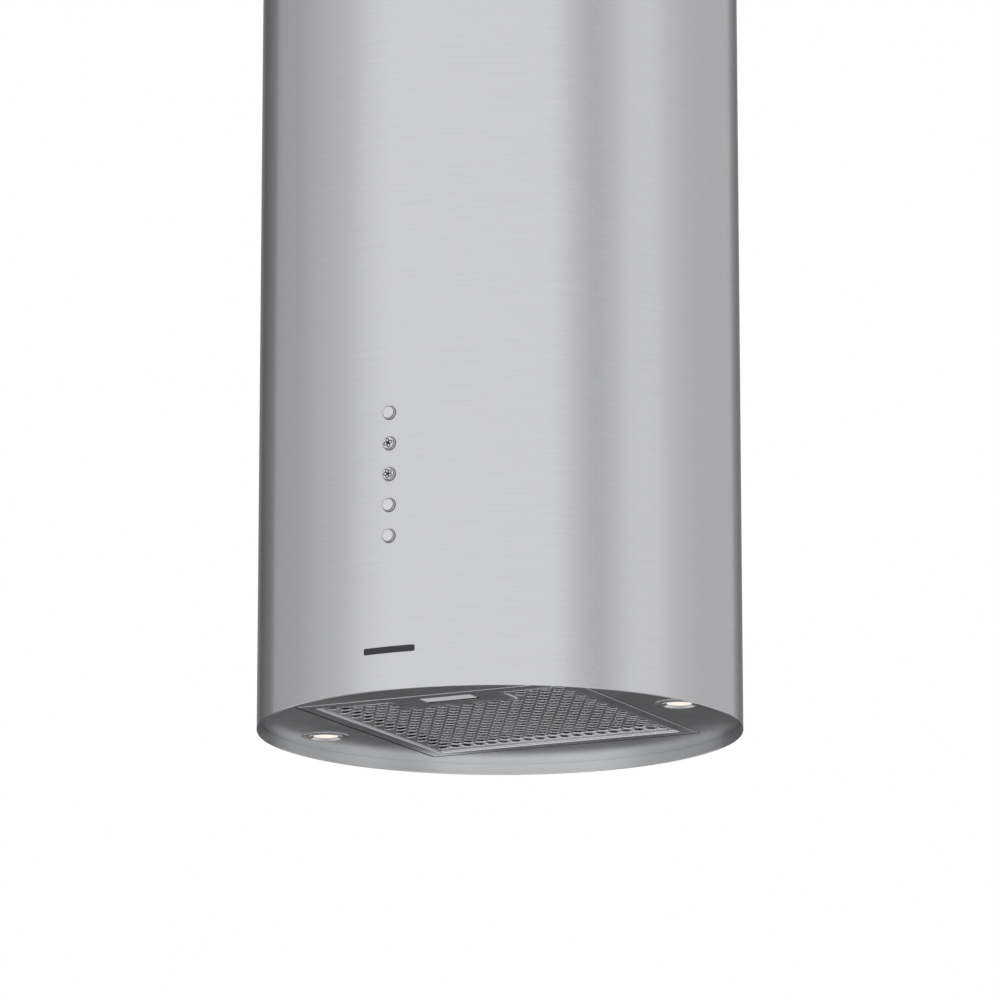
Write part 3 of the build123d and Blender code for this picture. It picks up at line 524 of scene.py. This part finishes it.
def vent_openings():
    """Two groups of upright vent slots, left and right on the upper tube, and a screw hole above each."""
    slots_z, slots_beside_middle, slot_deg = TUBE_HIGH.z - 78 * MM, 5, 3
    slot_radius, slot_straight, slot_patch = 2 * MM, 20 * MM, 30 * MM
    screw_z, screw_radius, screw_patch = TUBE_HIGH.z - 14 * MM, 2 * MM, 5 * MM
    half_angle = math.radians(slot_deg / 2)

    def slot(u, v, extra):
        return long_slot(u, v, slot_radius + extra, slot_straight)

    def screw_hole(u, v, extra):
        return round_hole(u, v, screw_radius + extra)

    openings = []
    for side in (0, math.pi):
        for step in range(-slots_beside_middle, slots_beside_middle + 1):
            angle = (side + math.radians(slot_deg * step)) % TAU
            openings.append(Opening(angle, slots_z, half_angle, slot_patch, slot, 6, 8))
        openings.append(Opening(side, screw_z, half_angle, screw_patch, screw_hole, 6, 6))
    return openings


def make_tubes():
    punched_tube("shell_skin", SHELL_HIGH.x, SHELL_WALL, SHELL_LOW.z, SHELL_HIGH.z, front_key_openings(),
                 "hood", "shell_steel", ["shell"])
    punched_tube("upper_tube_skin", TUBE_HIGH.x, TUBE_WALL, TUBE_LOW.z, TUBE_HIGH.z, vent_openings(),
                 "ceiling_side", "shell_steel", ["upper_tube"])


# ---------------------------------------------------------------- flat plates with openings

def circle_loop(centre, radius, count):
    return [(centre[0] + radius * math.cos(TAU * k / count), centre[1] + radius * math.sin(TAU * k / count))
            for k in range(count)]


def square_loop(half, corner, steps=4):
    """A square with round corners."""
    return soften([(-half, -half), (half, -half), (half, half), (-half, half)], corner, steps, closed=True)


def ring_of(bm, loop, z):
    return [bm.verts.new((x, y, z)) for x, y in loop]


def ring_edges(bm, ring):
    return [bm.edges.get(pair) or bm.edges.new(pair) for pair in zip(ring, ring[1:] + ring[:1])]


def fill_within(bm, edges):
    bmesh.ops.triangle_fill(bm, use_beauty=True, use_dissolve=False, edges=edges)


def fill(bm, rings):
    """Fills the flat area between closed rings of vertices, the openings left open."""
    fill_within(bm, [edge for ring in rings for edge in ring_edges(bm, ring)])


def make_bottom_panel():
    """The recessed disc round the filter, with its up-turned flange, filter opening and lamp holes; the
    opening's edge is painted black as the shadow of the gap round the filter.
    """
    sheet, bend, broken = 1.0 * MM, 0.5 * MM, 0.15 * MM
    filter_gap, filter_corner, lamp_hole = 1.5 * MM, 2.5 * MM, 17 * MM
    low, top = PANEL_LOW.z, PANEL_LOW.z + sheet
    edge = PANEL_HIGH.x
    lamp = middle("lamp_lens_right").x
    openings = [lambda extra: square_loop(FILTER_HIGH.x + filter_gap + extra, filter_corner, 5),
                lambda extra: circle_loop((-lamp, 0), lamp_hole + extra, 64),
                lambda extra: circle_loop((lamp, 0), lamp_hole + extra, 64)]
    bm = bmesh.new()
    lower, upper = [], []
    for opening in openings:
        rings = [ring_of(bm, opening(broken), low), ring_of(bm, opening(broken * 0.3), low + broken * 0.3),
                 ring_of(bm, opening(0), low + broken), ring_of(bm, opening(0), top)]
        skin(bm, rings)
        # The filter opening's edge faces are painted black: painted shadow of the gap round the filter.
        if opening is openings[0]:
            for face in bm.faces:
                face.material_index = 1
        lower.append(rings[0])
        upper.append(rings[-1])
    outline = [(edge - bend, low), (edge, low), (edge, PANEL_HIGH.z), (edge - sheet, PANEL_HIGH.z),
               (edge - sheet, top), (edge - bend - sheet, top)]
    profile = soften(outline, bend, 4)
    flange = [ring_of(bm, circle_loop((0, 0), reach, 240), z) for reach, z in profile]
    skin(bm, flange)
    fill(bm, [flange[0], *lower])
    fill(bm, [flange[-1], *upper])
    face_outward(bm)
    panel = add_piece("bottom_panel_skin", bm, "hood", "panel_steel", ["bottom_panel"])
    panel.data.materials.append(PAINTED_GAP_SHADE)


# ---------------------------------------------------------------- the filter cassette

HOLE_PITCH = 10.8 * MM
HOLE_ROW_PITCH = HOLE_PITCH * math.sqrt(3) / 2
HOLE_RADIUS = 3.7 * MM
HOLE_ROWS = 10
HOLE_COLUMNS = 9
# The rolled lip of a hole: how far past its radius, and how high, in millimetres
HOLE_LIP = ((0.45, 0.0), (0.18, 0.08), (0.02, 0.24), (0.0, 0.42))
SLOPE = (86 * MM, 105.5 * MM)
BLANK_HALF_X = 49 * MM
BLANK_EDGE_Y = -57 * MM
BOSS_HALF_X = 46.5 * MM
BOSS_Y = (-104 * MM, -61.6 * MM)
BOSS_RISE = 0.7 * MM
WINDOW_X = 22 * MM
WINDOW_Y = (-101.5 * MM, -77 * MM)


def make_filter_frame():
    """Four mitred bars, each a lip that laps under the sheet and an upright wall, with thin mitre lines."""
    half = FILTER_HIGH.x
    low, top = FILTER_LOW.z, FILTER_HIGH.z
    lip, gauge, gap = 11 * MM, 1.0 * MM, 0.12 * MM
    outline = [(0, low), (lip, low), (lip, low + gauge), (gauge, low + gauge), (gauge, top), (0, top)]
    profile = soften(outline, 0.4 * MM, 4, closed=True)
    bm = bmesh.new()
    for quarter in range(4):
        turn = quarter * math.pi / 2
        ends = []
        for side in (-1, 1):
            ring = []
            for inward, z in profile:
                along, away = side * (half - inward - gap), -(half - inward)
                ring.append(bm.verts.new((along * math.cos(turn) - away * math.sin(turn),
                                          along * math.sin(turn) + away * math.cos(turn), z)))
            ends.append(ring)
        skin(bm, ends)
        cap_ends(bm, ends)
    face_outward(bm)
    add_piece("filter_frame_bars", bm, "filter", "filter_steel", ["filter_frame"])


def dish(x, y):
    """The lower sheet's underside: flat in the middle, sloping down to its edge."""
    reach = max(abs(x), abs(y))
    share = min(1.0, max(0.0, (reach - SLOPE[0]) / (SLOPE[1] - SLOPE[0])))
    return SHEET_HIGH.z - SHEET_GAUGE - share * (SHEET_HIGH.z - SHEET_GAUGE - SHEET_LOW.z)


def hole_cells():
    """The centre of each cell of the staggered pattern."""
    for row in range(-HOLE_ROWS, HOLE_ROWS + 1):
        shift = HOLE_PITCH / 2 if row % 2 else 0.0
        for col in range(-HOLE_COLUMNS, HOLE_COLUMNS + (0 if row % 2 else 1)):
            yield col * HOLE_PITCH + shift, row * HOLE_ROW_PITCH


def is_blank(x, y):
    return abs(x) < BLANK_HALF_X and y < BLANK_EDGE_Y


def dense_ring(bm, loop, level):
    """A ring of vertices along a closed outline, about half a hole pitch apart."""
    ring = []
    for (x, y), (next_x, next_y) in zip(loop, loop[1:] + loop[:1]):
        pieces = max(1, round(math.hypot(next_x - x, next_y - y) / (HOLE_PITCH / 2)))
        for k in range(pieces):
            px, py = x + (next_x - x) * k / pieces, y + (next_y - y) * k / pieces
            ring.append(bm.verts.new((px, py, level(px, py))))
    return ring


def rectangle(half_x, y_range):
    low, high = y_range
    return [(-half_x, low), (half_x, low), (half_x, high), (-half_x, high)]


def cell_edge(x, y, per_side=6):
    """Points round the cell of a hole, in order."""
    half_x, half_y = HOLE_PITCH / 2, HOLE_ROW_PITCH / 2
    step_x, step_y = HOLE_PITCH / per_side, HOLE_ROW_PITCH / per_side
    walk = [(x - half_x + k * step_x, y - half_y) for k in range(per_side)]
    walk += [(x + half_x, y - half_y + k * step_y) for k in range(per_side)]
    walk += [(x + half_x - k * step_x, y + half_y) for k in range(per_side)]
    walk += [(x - half_x, y + half_y - k * step_y) for k in range(per_side)]
    return walk


def punched_cells(bm):
    """Every cell of the pattern, each with a lipped hole. Returns the edges that only one cell uses."""
    grid, used = {}, {}

    def corner(x, y):
        key = (round(x / MM * 20), round(y / MM * 20))
        if key not in grid:
            grid[key] = bm.verts.new((x, y, dish(x, y)))
        return grid[key]

    for x, y in hole_cells():
        if is_blank(x, y):
            continue
        walk = cell_edge(x, y)
        rings = [[corner(*spot) for spot in walk]]
        for extra, rise in HOLE_LIP:
            reach = HOLE_RADIUS + extra * MM
            ring = []
            for px, py in walk:
                away = Vector((px - x, py - y)).normalized() * reach
                level = dish(x + away.x, y + away.y) + rise * MM
                ring.append(bm.verts.new((x + away.x, y + away.y, level)))
            rings.append(ring)
        skin(bm, rings)
        for first, second in zip(walk, walk[1:] + walk[:1]):
            ends = frozenset((corner(*first), corner(*second)))
            used[ends] = used.get(ends, 0) + 1
    return [bm.edges.get(tuple(ends)) for ends, times in used.items() if times == 1]


def stepped_in(value, middle_value, half, margin, step):
    """A coordinate moved back towards the middle if it is within margin of its end."""
    away = value - middle_value
    return value - math.copysign(step, away) if abs(away) > half - margin else value


def raise_boss(bm, foot):
    """The plain plate round the latch, raised on a sloping foot, with the latch's window."""
    middle_y, half_y = sum(BOSS_Y) / 2, (BOSS_Y[1] - BOSS_Y[0]) / 2
    step = 0.6 * MM
    flat = SHEET_HIGH.z - SHEET_GAUGE - BOSS_RISE
    top = [bm.verts.new((stepped_in(vert.co.x, 0.0, BOSS_HALF_X, 1.5 * MM, step),
                         stepped_in(vert.co.y, middle_y, half_y, 0.8 * MM, step), flat)) for vert in foot]
    skin(bm, [foot, top])
    window = ring_of(bm, soften(rectangle(WINDOW_X, WINDOW_Y), 1.2 * MM, 3, closed=True), flat)
    window_lip = [bm.verts.new((vert.co.x, vert.co.y, flat + 0.3 * MM)) for vert in window]
    fill(bm, [top, window])
    skin(bm, [window, window_lip])


def make_filter_sheet():
    """The perforated lower sheet: each hole has a rolled lip, and a raised plate surrounds the latch."""
    bm = bmesh.new()
    edges = punched_cells(bm)
    rim = dense_ring(bm, square_loop(SHEET_HIGH.x, 0.5 * MM, 1), lambda x, y: SHEET_LOW.z)
    knee = dense_ring(bm, square_loop(SLOPE[1], 0.5 * MM, 1), dish)
    fill(bm, [rim, knee])
    boss_foot = dense_ring(bm, soften(rectangle(BOSS_HALF_X, BOSS_Y), 1.5 * MM, 3, closed=True), dish)
    fill_within(bm, edges + ring_edges(bm, knee) + ring_edges(bm, boss_foot))
    raise_boss(bm, boss_foot)
    face_outward(bm)
    if sum(face.normal.z * face.calc_area() for face in bm.faces) > 0:
        bmesh.ops.reverse_faces(bm, faces=bm.faces[:])
    piece = add_piece("filter_sheet_punched", bm, "filter", "filter_steel", ["filter_sheet_lower"],
                      weighted=False, sharp_deg=60)
    gauge = piece.modifiers.new("gauge", "SOLIDIFY")
    gauge.thickness = SHEET_GAUGE / 2
    gauge.offset = -1
    piece.modifiers.new("even_shading", "WEIGHTED_NORMAL").keep_sharp = True


def strand_line(bm, low, high, base, z, phase, shift):
    """One zigzag strand of expanded metal, tilted at each leg as the real one is."""
    step, swing, tilt = 3.2 * MM, 1.68 * MM, 0.30 * MM
    half_y, half_z = 0.35 * MM, 0.15 * MM
    rings = []
    for k in range(int((high - low) / step) + 1):
        side = 1 if (k + phase) % 2 else -1
        x, y, lean = low + (k + shift) * step, base + side * swing, side * tilt
        section = [(-half_y, -half_z - lean), (half_y, -half_z + lean), (half_y, half_z + lean),
                   (-half_y, half_z - lean)]
        rings.append([bm.verts.new((x, y + aside, z + up)) for aside, up in section])
    skin(bm, rings)
    cap_ends(bm, rings)


def make_filter_core():
    """Two layers of expanded metal: zigzag strands whose peaks meet, the second shifted and turned over."""
    half = CORE_HIGH.x
    row_pitch, first_layer, layer_pitch, layer_shift = 4.0 * MM, 0.6 * MM, 2.4 * MM, 0.185
    notch_x, notch_y = 27 * MM, -65 * MM
    bm = bmesh.new()
    for layer in range(2):
        z = CORE_LOW.z + first_layer + layer_pitch * layer
        for row in range(int(2 * half / row_pitch)):
            base = -half + (row + 0.5) * row_pitch
            spans = [(-half, -notch_x), (notch_x, half)] if base < notch_y else [(-half, half)]
            for low, high in spans:
                strand_line(bm, low, high, base, z, row + layer, layer_shift * layer)
    face_outward(bm)
    add_piece("filter_core_layers", bm, "filter", "filter_mesh", ["filter_mesh"], weighted=False)


# ---------------------------------------------------------------- the latch

def soft_box(bm, half_x, y_range, z_range, edge):
    """A box across the middle of the hood, with rounded upright corners and softened rims."""
    (low_y, high_y), (low_z, high_z) = y_range, z_range

    def loop(inset):
        return soften(rectangle(half_x - inset, (low_y + inset, high_y - inset)), 2 * edge, 4, closed=True)

    levels = [(edge, low_z), (0.3 * edge, low_z + 0.3 * edge), (0.0, low_z + edge), (0.0, high_z - edge),
              (0.3 * edge, high_z - 0.3 * edge), (edge, high_z)]
    rings = [ring_of(bm, loop(inset), z) for inset, z in levels]
    skin(bm, rings)
    cap_ends(bm, rings)


def make_latch_slider():
    """The finger grip, the apron that closes the window behind it, the bar and the spring boss."""
    low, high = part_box("latch_slider")
    grip_depth, bar_half, boss_half, boss_depth = 17.5 * MM, 9 * MM, 4 * MM, 4 * MM
    apron_half, apron_front, apron_back = WINDOW_X - 1.5 * MM, WINDOW_Y[0] + 0.5 * MM, WINDOW_Y[1] - 1 * MM
    bar_end = high.y - 1 * MM
    bm = bmesh.new()
    soft_box(bm, high.x, (high.y - grip_depth, high.y), (low.z, low.z + 2 * MM), 0.45 * MM)
    soft_box(bm, apron_half, (apron_front, apron_back), (low.z + 2.05 * MM, low.z + 2.7 * MM), 0.1 * MM)
    soft_box(bm, bar_half, (low.y, bar_end), (low.z + 2.75 * MM, low.z + 3.6 * MM), 0.15 * MM)
    soft_box(bm, boss_half, (bar_end - boss_depth, bar_end), (low.z + 3.65 * MM, high.z), 0.3 * MM)
    face_outward(bm)
    add_piece("latch_grip", bm, "latch", "latch_metal", ["latch_slider"])


def make_latch_spring():
    """The return spring behind the grip, built at its rest length; the real spring shortens by the latch's
    travel.
    """
    low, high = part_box("latch_spring")
    centre, length = middle("latch_spring"), high.y - low.y
    wire, pitch, steps, sides = 0.25 * MM, 2.2 * MM, 24, 8
    reach = high.z - centre.z - wire
    turns = (length - 2 * wire) / pitch
    bm = bmesh.new()
    rings = []
    for k in range(int(turns * steps) + 1):
        angle = TAU * k / steps
        outward = Vector((math.cos(angle), 0, math.sin(angle)))
        core = Vector((centre.x, low.y + wire + pitch * k / steps, centre.z)) + outward * reach
        ring = []
        for side in range(sides):
            t = TAU * side / sides
            ring.append(bm.verts.new(core + wire * (outward * math.cos(t) + Vector((0, math.sin(t), 0)))))
        rings.append(ring)
    skin(bm, rings)
    cap_ends(bm, rings)
    face_outward(bm)
    coil = add_piece("latch_coil", bm, "filter", "spring_steel", ["latch_spring"], weighted=False)
    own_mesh(coil)


# ---------------------------------------------------------------- lamps

def make_lamps():
    """Two lamps, each a turned bezel that narrows to its mouth, and a ribbed lens behind it."""
    mouth, neck, ribs = 9.8 * MM, 16.6 * MM, 12
    for side in ("left", "right"):
        bezel, lens = f"lamp_bezel_{side}", f"lamp_lens_{side}"
        low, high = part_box(bezel)
        lens_low, lens_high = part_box(lens)
        centre = middle(bezel)
        edge = high.x - centre.x
        glass = (lens_high.x - lens_low.x) / 2
        bore = glass + 0.3 * MM
        seat = low.z + 1 * MM
        outline = [(edge, seat), (edge, seat - 0.25 * MM), (edge - 0.35 * MM, seat - 0.45 * MM),
                   (bore + 1.6 * MM, seat - 0.6 * MM), (bore + 1.2 * MM, low.z), (bore + 0.7 * MM, low.z),
                   (mouth, lens_low.z - 0.55 * MM), (mouth, lens_low.z - 0.1 * MM),
                   (bore, lens_low.z - 0.1 * MM), (bore, high.z), (neck, high.z), (neck, seat)]
        bm = bmesh.new()
        lathe(bm, soften(outline, 0.12 * MM, 3, closed=True), upright(centre), 96, closed=True)
        face_outward(bm)
        add_piece(f"{bezel}_ring", bm, "hood", "bezel_steel", [bezel])
        dome = [(0, lens_low.z + 0.02 * MM)]
        for k in range(1, ribs):
            rib = 0.06 * MM if k % 2 else 0
            dome.append((glass * k / ribs, lens_low.z + 0.35 * MM * (k / ribs) ** 2 + rib))
        dome += [(glass - 0.2 * MM, lens_low.z + 0.38 * MM), (glass, lens_low.z + 0.7 * MM),
                 (glass, lens_high.z), (0, lens_high.z)]
        bm = bmesh.new()
        lathe(bm, dome, upright(centre), 72)
        face_outward(bm)
        add_piece(f"{lens}_glass", bm, "hood", "lens_warm", [lens])


# ---------------------------------------------------------------- keys and badge

KEY_CAP = 5.2 * MM
KEY_COLLAR = KEY_CAP + 1.2 * MM
KEY_COLLAR_Y = (-185.2 * MM, -183.8 * MM)
KEY_CAP_BACK_Y = -182 * MM
KEY_STEM = 2 * MM
ICON_DEPTH = 0.05 * MM
ICON_LIFT = 0.01 * MM


def make_key(name):
    """A round cap with a soft edge, a groove round its face painted black as its shadow, a retaining collar
    and a stem.
    """
    low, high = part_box(name)
    centre = middle(name)
    front = low.y + ICON_DEPTH
    shoulder, groove = front + 0.5 * MM, front + 0.58 * MM
    face, lip = KEY_CAP - 0.7 * MM, KEY_CAP - 0.3 * MM
    outline = [(0, front), (face - 0.1 * MM, front), (face, front + 0.1 * MM), (face, groove), (lip, groove),
               (lip, shoulder), (KEY_CAP - 0.1 * MM, shoulder), (KEY_CAP, shoulder + 0.1 * MM),
               (KEY_CAP, KEY_COLLAR_Y[0]), (KEY_COLLAR, KEY_COLLAR_Y[0]), (KEY_COLLAR, KEY_COLLAR_Y[1]),
               (KEY_CAP, KEY_COLLAR_Y[1]), (KEY_CAP, KEY_CAP_BACK_Y), (KEY_STEM, KEY_CAP_BACK_Y),
               (KEY_STEM, high.y), (0, high.y)]
    bm = bmesh.new()
    lathe(bm, soften(outline, 0.08 * MM, 3), facing_front(centre), 72)
    face_outward(bm)
    # The groove's faces are painted black as the groove's shadow.
    for patch in bm.faces:
        spot = patch.calc_center_median()
        reach = math.hypot(spot.x - centre.x, spot.z - centre.z)
        in_groove = face - 0.05 * MM < reach < lip + 0.05 * MM and spot.y > front + 0.12 * MM
        patch.material_index = 1 if in_groove else 0
    cap = add_piece(f"{name}_cap", bm, f"{name}_body", "key_silver", [name])
    cap.data.materials.append(PAINTED_GAP_SHADE)


def make_fan_icon(name, blades, first_blade):
    """A generic fan sign: outlined blades round a hub. The first blade's turn is in degrees."""
    place = facing_front(middle(name))
    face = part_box(name)[0].y + ICON_DEPTH
    back, front = face + ICON_LIFT, face + ICON_LIFT - ICON_DEPTH
    line, hub, blade_middle, half_long, half_wide = 0.78 * MM, 0.75 * MM, 2.15 * MM, 1.4 * MM, 1.15 * MM
    count = 28
    bm = bmesh.new()
    for blade in range(blades):
        turn = TAU * blade / blades + math.radians(first_blade)
        rings = [[], [], [], []]
        for k in range(count):
            cos_t, sin_t = math.cos(TAU * k / count), math.sin(TAU * k / count)
            spot = Vector((blade_middle + half_long * cos_t, half_wide * sin_t))
            out = Vector((half_wide * cos_t, half_long * sin_t)).normalized() * line / 2
            for ring, sign, along in zip(rings, (-1, -1, 1, 1), (back, front, front, back)):
                a, b = spot + out * sign
                x, z = a * math.cos(turn) - b * math.sin(turn), a * math.sin(turn) + b * math.cos(turn)
                ring.append(bm.verts.new(place(x, z, along)))
        skin(bm, rings, along=True)
    lathe(bm, [(0, back), (hub, back), (hub, front), (0, front)], place, 24)
    face_outward(bm)
    add_piece(f"{name}_icon", bm, f"{name}_body", "key_silver", material=ICON_INK)


def make_badge():
    """A plain curved bar with round corners and a softened edge, no lettering."""
    radius, half_x = SHELL_HIGH.x, BADGE_HIGH.x
    centre_z = (BADGE_LOW.z + BADGE_HIGH.z) / 2
    half_z = (BADGE_HIGH.z - BADGE_LOW.z) / 2
    proud = -BADGE_LOW.y - radius
    corner, edge, bedded = 1.2 * MM, 0.15 * MM, 0.02 * MM
    columns, rows, corner_steps = 36, 6, 5
    bm = bmesh.new()

    def span(x):
        """How far the bar reaches up and down at x, round corners allowed for."""
        into = max(0.0, abs(x) - (half_x - corner))
        return half_z - corner + math.sqrt(max(0.0, corner ** 2 - into ** 2))

    ends = [corner * (1 - math.cos(math.pi / 2 * k / corner_steps)) for k in range(1, corner_steps)]
    stations = [-half_x] + [-half_x + step for step in ends]
    stations += [(2 * k / columns - 1) * (half_x - corner) for k in range(columns + 1)]
    stations += [half_x - step for step in reversed(ends)] + [half_x]

    def column(x, inset, lift):
        reach = radius + lift
        scale = 1 - inset / half_x
        top = max(0.0, span(x) - inset)
        flat = x * scale
        return [bm.verts.new((flat, -math.sqrt(reach ** 2 - flat ** 2), centre_z + top * (2 * k / rows - 1)))
                for k in range(rows + 1)]

    face = [column(x, edge, proud) for x in stations]
    back = [column(x, 0.0, bedded) for x in stations]
    skin(bm, face, around=False)
    skin(bm, back, around=False)
    face_rim, back_rim = [[line[0] for line in grid] + grid[-1][1:-1] + [line[-1] for line in reversed(grid)]
                          + grid[0][-2:0:-1] for grid in (face, back)]
    shoulder = []
    for vert in back_rim:
        away = Vector((vert.co.x, vert.co.y, 0)).normalized() * (proud - edge)
        shoulder.append(bm.verts.new(vert.co + away))
    skin(bm, [face_rim, shoulder, back_rim])
    face_outward(bm)
    add_piece("badge_plate", bm, "hood", "badge_dark", ["badge"])


def make_keys():
    for name in KEYS:
        make_key(name)
    make_fan_icon("key_3", 5, 40)
    make_fan_icon("key_4", 4, 14)


# ---------------------------------------------------------------- carried-over CAD nodes

# The width of the broken edges on sharp carried-over nodes, in millimetres
SOFTENED_NODES = {
    "latch_cover": 0.5, "switch_housing": 0.8, "ceiling_plate": 0.5, "upper_posts": 0.4,
    "lower_posts": 0.4, "control_box_lid": 0.4, "transformer": 0.8, "terminal_block": 0.5, "casing_top": 0.3,
}


def dress_cad_nodes():
    """Gives each carried-over CAD node its procedural material, and broken edges where they show."""
    for name, cad in NODES.items():
        spot = cad.material_slots[0]
        slot_name = spot.material.name.split(".")[0]
        spot.link = "OBJECT"
        spot.material = MATERIALS[slot_name]
        if name in SOFTENED_NODES:
            joined = cad.modifiers.new("joined", "WELD")
            joined.merge_threshold = 0.01 * MM
            edges = cad.modifiers.new("broken_edges", "BEVEL")
            edges.width = SOFTENED_NODES[name] * MM
            edges.segments = 2
            edges.limit_method = "ANGLE"
            edges.angle_limit = math.radians(50)
            edges.use_clamp_overlap = True
            edges.harden_normals = True


# ---------------------------------------------------------------- studio

CAMERA_AZIMUTH = math.radians(26.3)
CAMERA_PITCH = math.radians(12.893)
CAMERA_DISTANCE = 4.56
CAMERA_BELOW_RIM = 0.858
CAMERA_LENS = 213.7
FLOOR_Z = -7.0
FLOOR_REACH = 40.0

# Brightness of the studio round the object, by degrees to the right of the camera as seen from the object
STUDIO_CARDS = [
    (-180, 0.55), (-172, 0.30), (-157, 0.125), (-145, 0.22), (-137, 0.29), (-134.5, 0.50), (-112, 0.55),
    (-94, 0.68), (-79, 0.76), (-65, 0.96), (-52, 1.02), (24, 1.01), (29, 0.97), (33, 0.86), (46, 0.665),
    (56, 0.77), (66, 0.92), (80, 0.92), (87, 0.80), (104, 0.685), (125, 0.64), (145, 0.62), (149, 0.36),
    (161, 0.18), (172, 0.30), (180, 0.55),
]
BELOW_AROUND = (1.0, 1.0, 1.01, 1)
BELOW_MIDDLE = (0.50, 0.50, 0.507, 1)
BELOW_FLANKS = (0.36, 0.36, 0.365, 1)
CARD_BEHIND = (0.085, 0.085, 0.088, 1)
FRONT_LIFT = 0.2


def make_camera():
    data = bpy.data.cameras.new("camera")
    data.sensor_width = 36
    data.lens = CAMERA_LENS
    data.clip_start, data.clip_end = 0.1, 100
    camera = bpy.data.objects.new("camera", data)
    camera.location = (CAMERA_DISTANCE * math.sin(CAMERA_AZIMUTH),
                       -CAMERA_DISTANCE * math.cos(CAMERA_AZIMUTH), RIM_Z - CAMERA_BELOW_RIM)
    camera.rotation_euler = (math.pi / 2 + CAMERA_PITCH, 0, CAMERA_AZIMUTH)
    SCENE.collection.objects.link(camera)
    SCENE.camera = camera


def make_world():
    """Soft studio light: a wide bright front, softer sides, and a dark card low behind the object."""
    world = bpy.data.worlds.new("studio")
    world.use_nodes = True
    SCENE.world = world
    tree = world.node_tree
    tree.nodes.clear()

    def add(kind, inputs=(), **settings):
        made = tree.nodes.new(kind)
        for name, value in settings.items():
            setattr(made, name, value)
        for socket, value in inputs:
            if isinstance(value, bpy.types.NodeSocket):
                tree.links.new(value, made.inputs[socket])
            else:
                made.inputs[socket].default_value = value
        return made

    def calc(operation, first, second=0.0, third=0.0):
        return add("ShaderNodeMath", [(0, first), (1, second), (2, third)], operation=operation).outputs[0]

    def mix(share, first, second):
        made = add("ShaderNodeMix", [("Factor", share), ("A", first), ("B", second)], data_type="RGBA")
        return made.outputs["Result"]

    def fade(value, start, end):
        """0 before start, 1 past end."""
        made = add("ShaderNodeMapRange", [("Value", value), ("From Min", start), ("From Max", end),
                                          ("To Min", 0.0), ("To Max", 1.0)], interpolation_type="SMOOTHSTEP")
        return made.outputs["Result"]

    way = add("ShaderNodeTexCoord").outputs["Generated"]
    toward = (math.sin(CAMERA_AZIMUTH), -math.cos(CAMERA_AZIMUTH), 0)
    right = (math.cos(CAMERA_AZIMUTH), math.sin(CAMERA_AZIMUTH), 0)
    front = add("ShaderNodeVectorMath", [(0, way), (1, toward)], operation="DOT_PRODUCT").outputs["Value"]
    aside = add("ShaderNodeVectorMath", [(0, way), (1, right)], operation="DOT_PRODUCT").outputs["Value"]
    turn = calc("ARCTAN2", aside, front)
    share = calc("ADD", calc("MULTIPLY", turn, 1 / TAU), 0.5)
    ramp = add("ShaderNodeValToRGB", [("Fac", share)])
    stops = ramp.color_ramp.elements
    while len(stops) < len(STUDIO_CARDS):
        stops.new(0.5)
    for stop, (degrees, value) in zip(stops, STUDIO_CARDS):
        stop.position = degrees / 360 + 0.5
        stop.color = (value, value, value * 1.015, 1)
    level = add("ShaderNodeSeparateXYZ", [("Vector", way)]).outputs["Z"]
    aside_angle = calc("ABSOLUTE", turn)

    def fade_turn(start, end):
        return fade(aside_angle, math.radians(start), math.radians(end))

    flank = calc("MULTIPLY", fade_turn(45, 75), fade_turn(130, 105))
    under = mix(flank, mix(fade(level, -0.60, -0.85), BELOW_AROUND, BELOW_MIDDLE), BELOW_FLANKS)
    around = mix(fade(level, -0.34, -0.46), ramp.outputs["Color"], under)
    card_height = calc("MULTIPLY", fade(level, -0.42, -0.32), fade(level, 0.03, -0.07))
    card = calc("MULTIPLY", fade_turn(118, 150), card_height)
    lift = calc("MULTIPLY", fade_turn(85, 50), fade(level, 0.0, -0.2))
    strength = calc("MULTIPLY_ADD", lift, FRONT_LIFT, 1.0)
    soft = add("ShaderNodeBackground", [("Color", mix(card, around, CARD_BEHIND)), ("Strength", strength)])
    white = add("ShaderNodeBackground", [("Color", (1, 1, 1, 1)), ("Strength", 1.0)])
    seen = add("ShaderNodeLightPath").outputs["Is Camera Ray"]
    surface = add("ShaderNodeMixShader", [(0, seen), (1, soft.outputs[0]), (2, white.outputs[0])])
    add("ShaderNodeOutputWorld", [("Surface", surface.outputs[0])])


def make_floor():
    """A plain pale floor, far enough below for the hood to be seen from underneath."""
    bm = bmesh.new()
    bmesh.ops.create_grid(bm, x_segments=4, y_segments=4, size=FLOOR_REACH)
    mesh = bpy.data.meshes.new("floor")
    bm.to_mesh(mesh)
    bm.free()
    floor = bpy.data.objects.new("floor", mesh)
    floor.location.z = FLOOR_Z
    SCENE.collection.objects.link(floor)
    paint = Finish("floor_paint", (0.86, 0.86, 0.86), 0.0, 0.9)
    paint.tint(paint.noise((1.5, 1.5, 1.5), 3.0), 0.985, 1.01)
    mesh.materials.append(paint.material)
    floor.visible_glossy = False


def make_studio():
    make_camera()
    make_world()
    make_floor()
    SCENE.view_settings.view_transform = "Standard"
    SCENE.view_settings.look = "None"


# ---------------------------------------------------------------- the whole

make_tubes()
make_bottom_panel()
make_filter_frame()
make_filter_sheet()
make_filter_core()
make_latch_slider()
make_latch_spring()
make_lamps()
make_keys()
make_badge()
dress_cad_nodes()
make_studio()
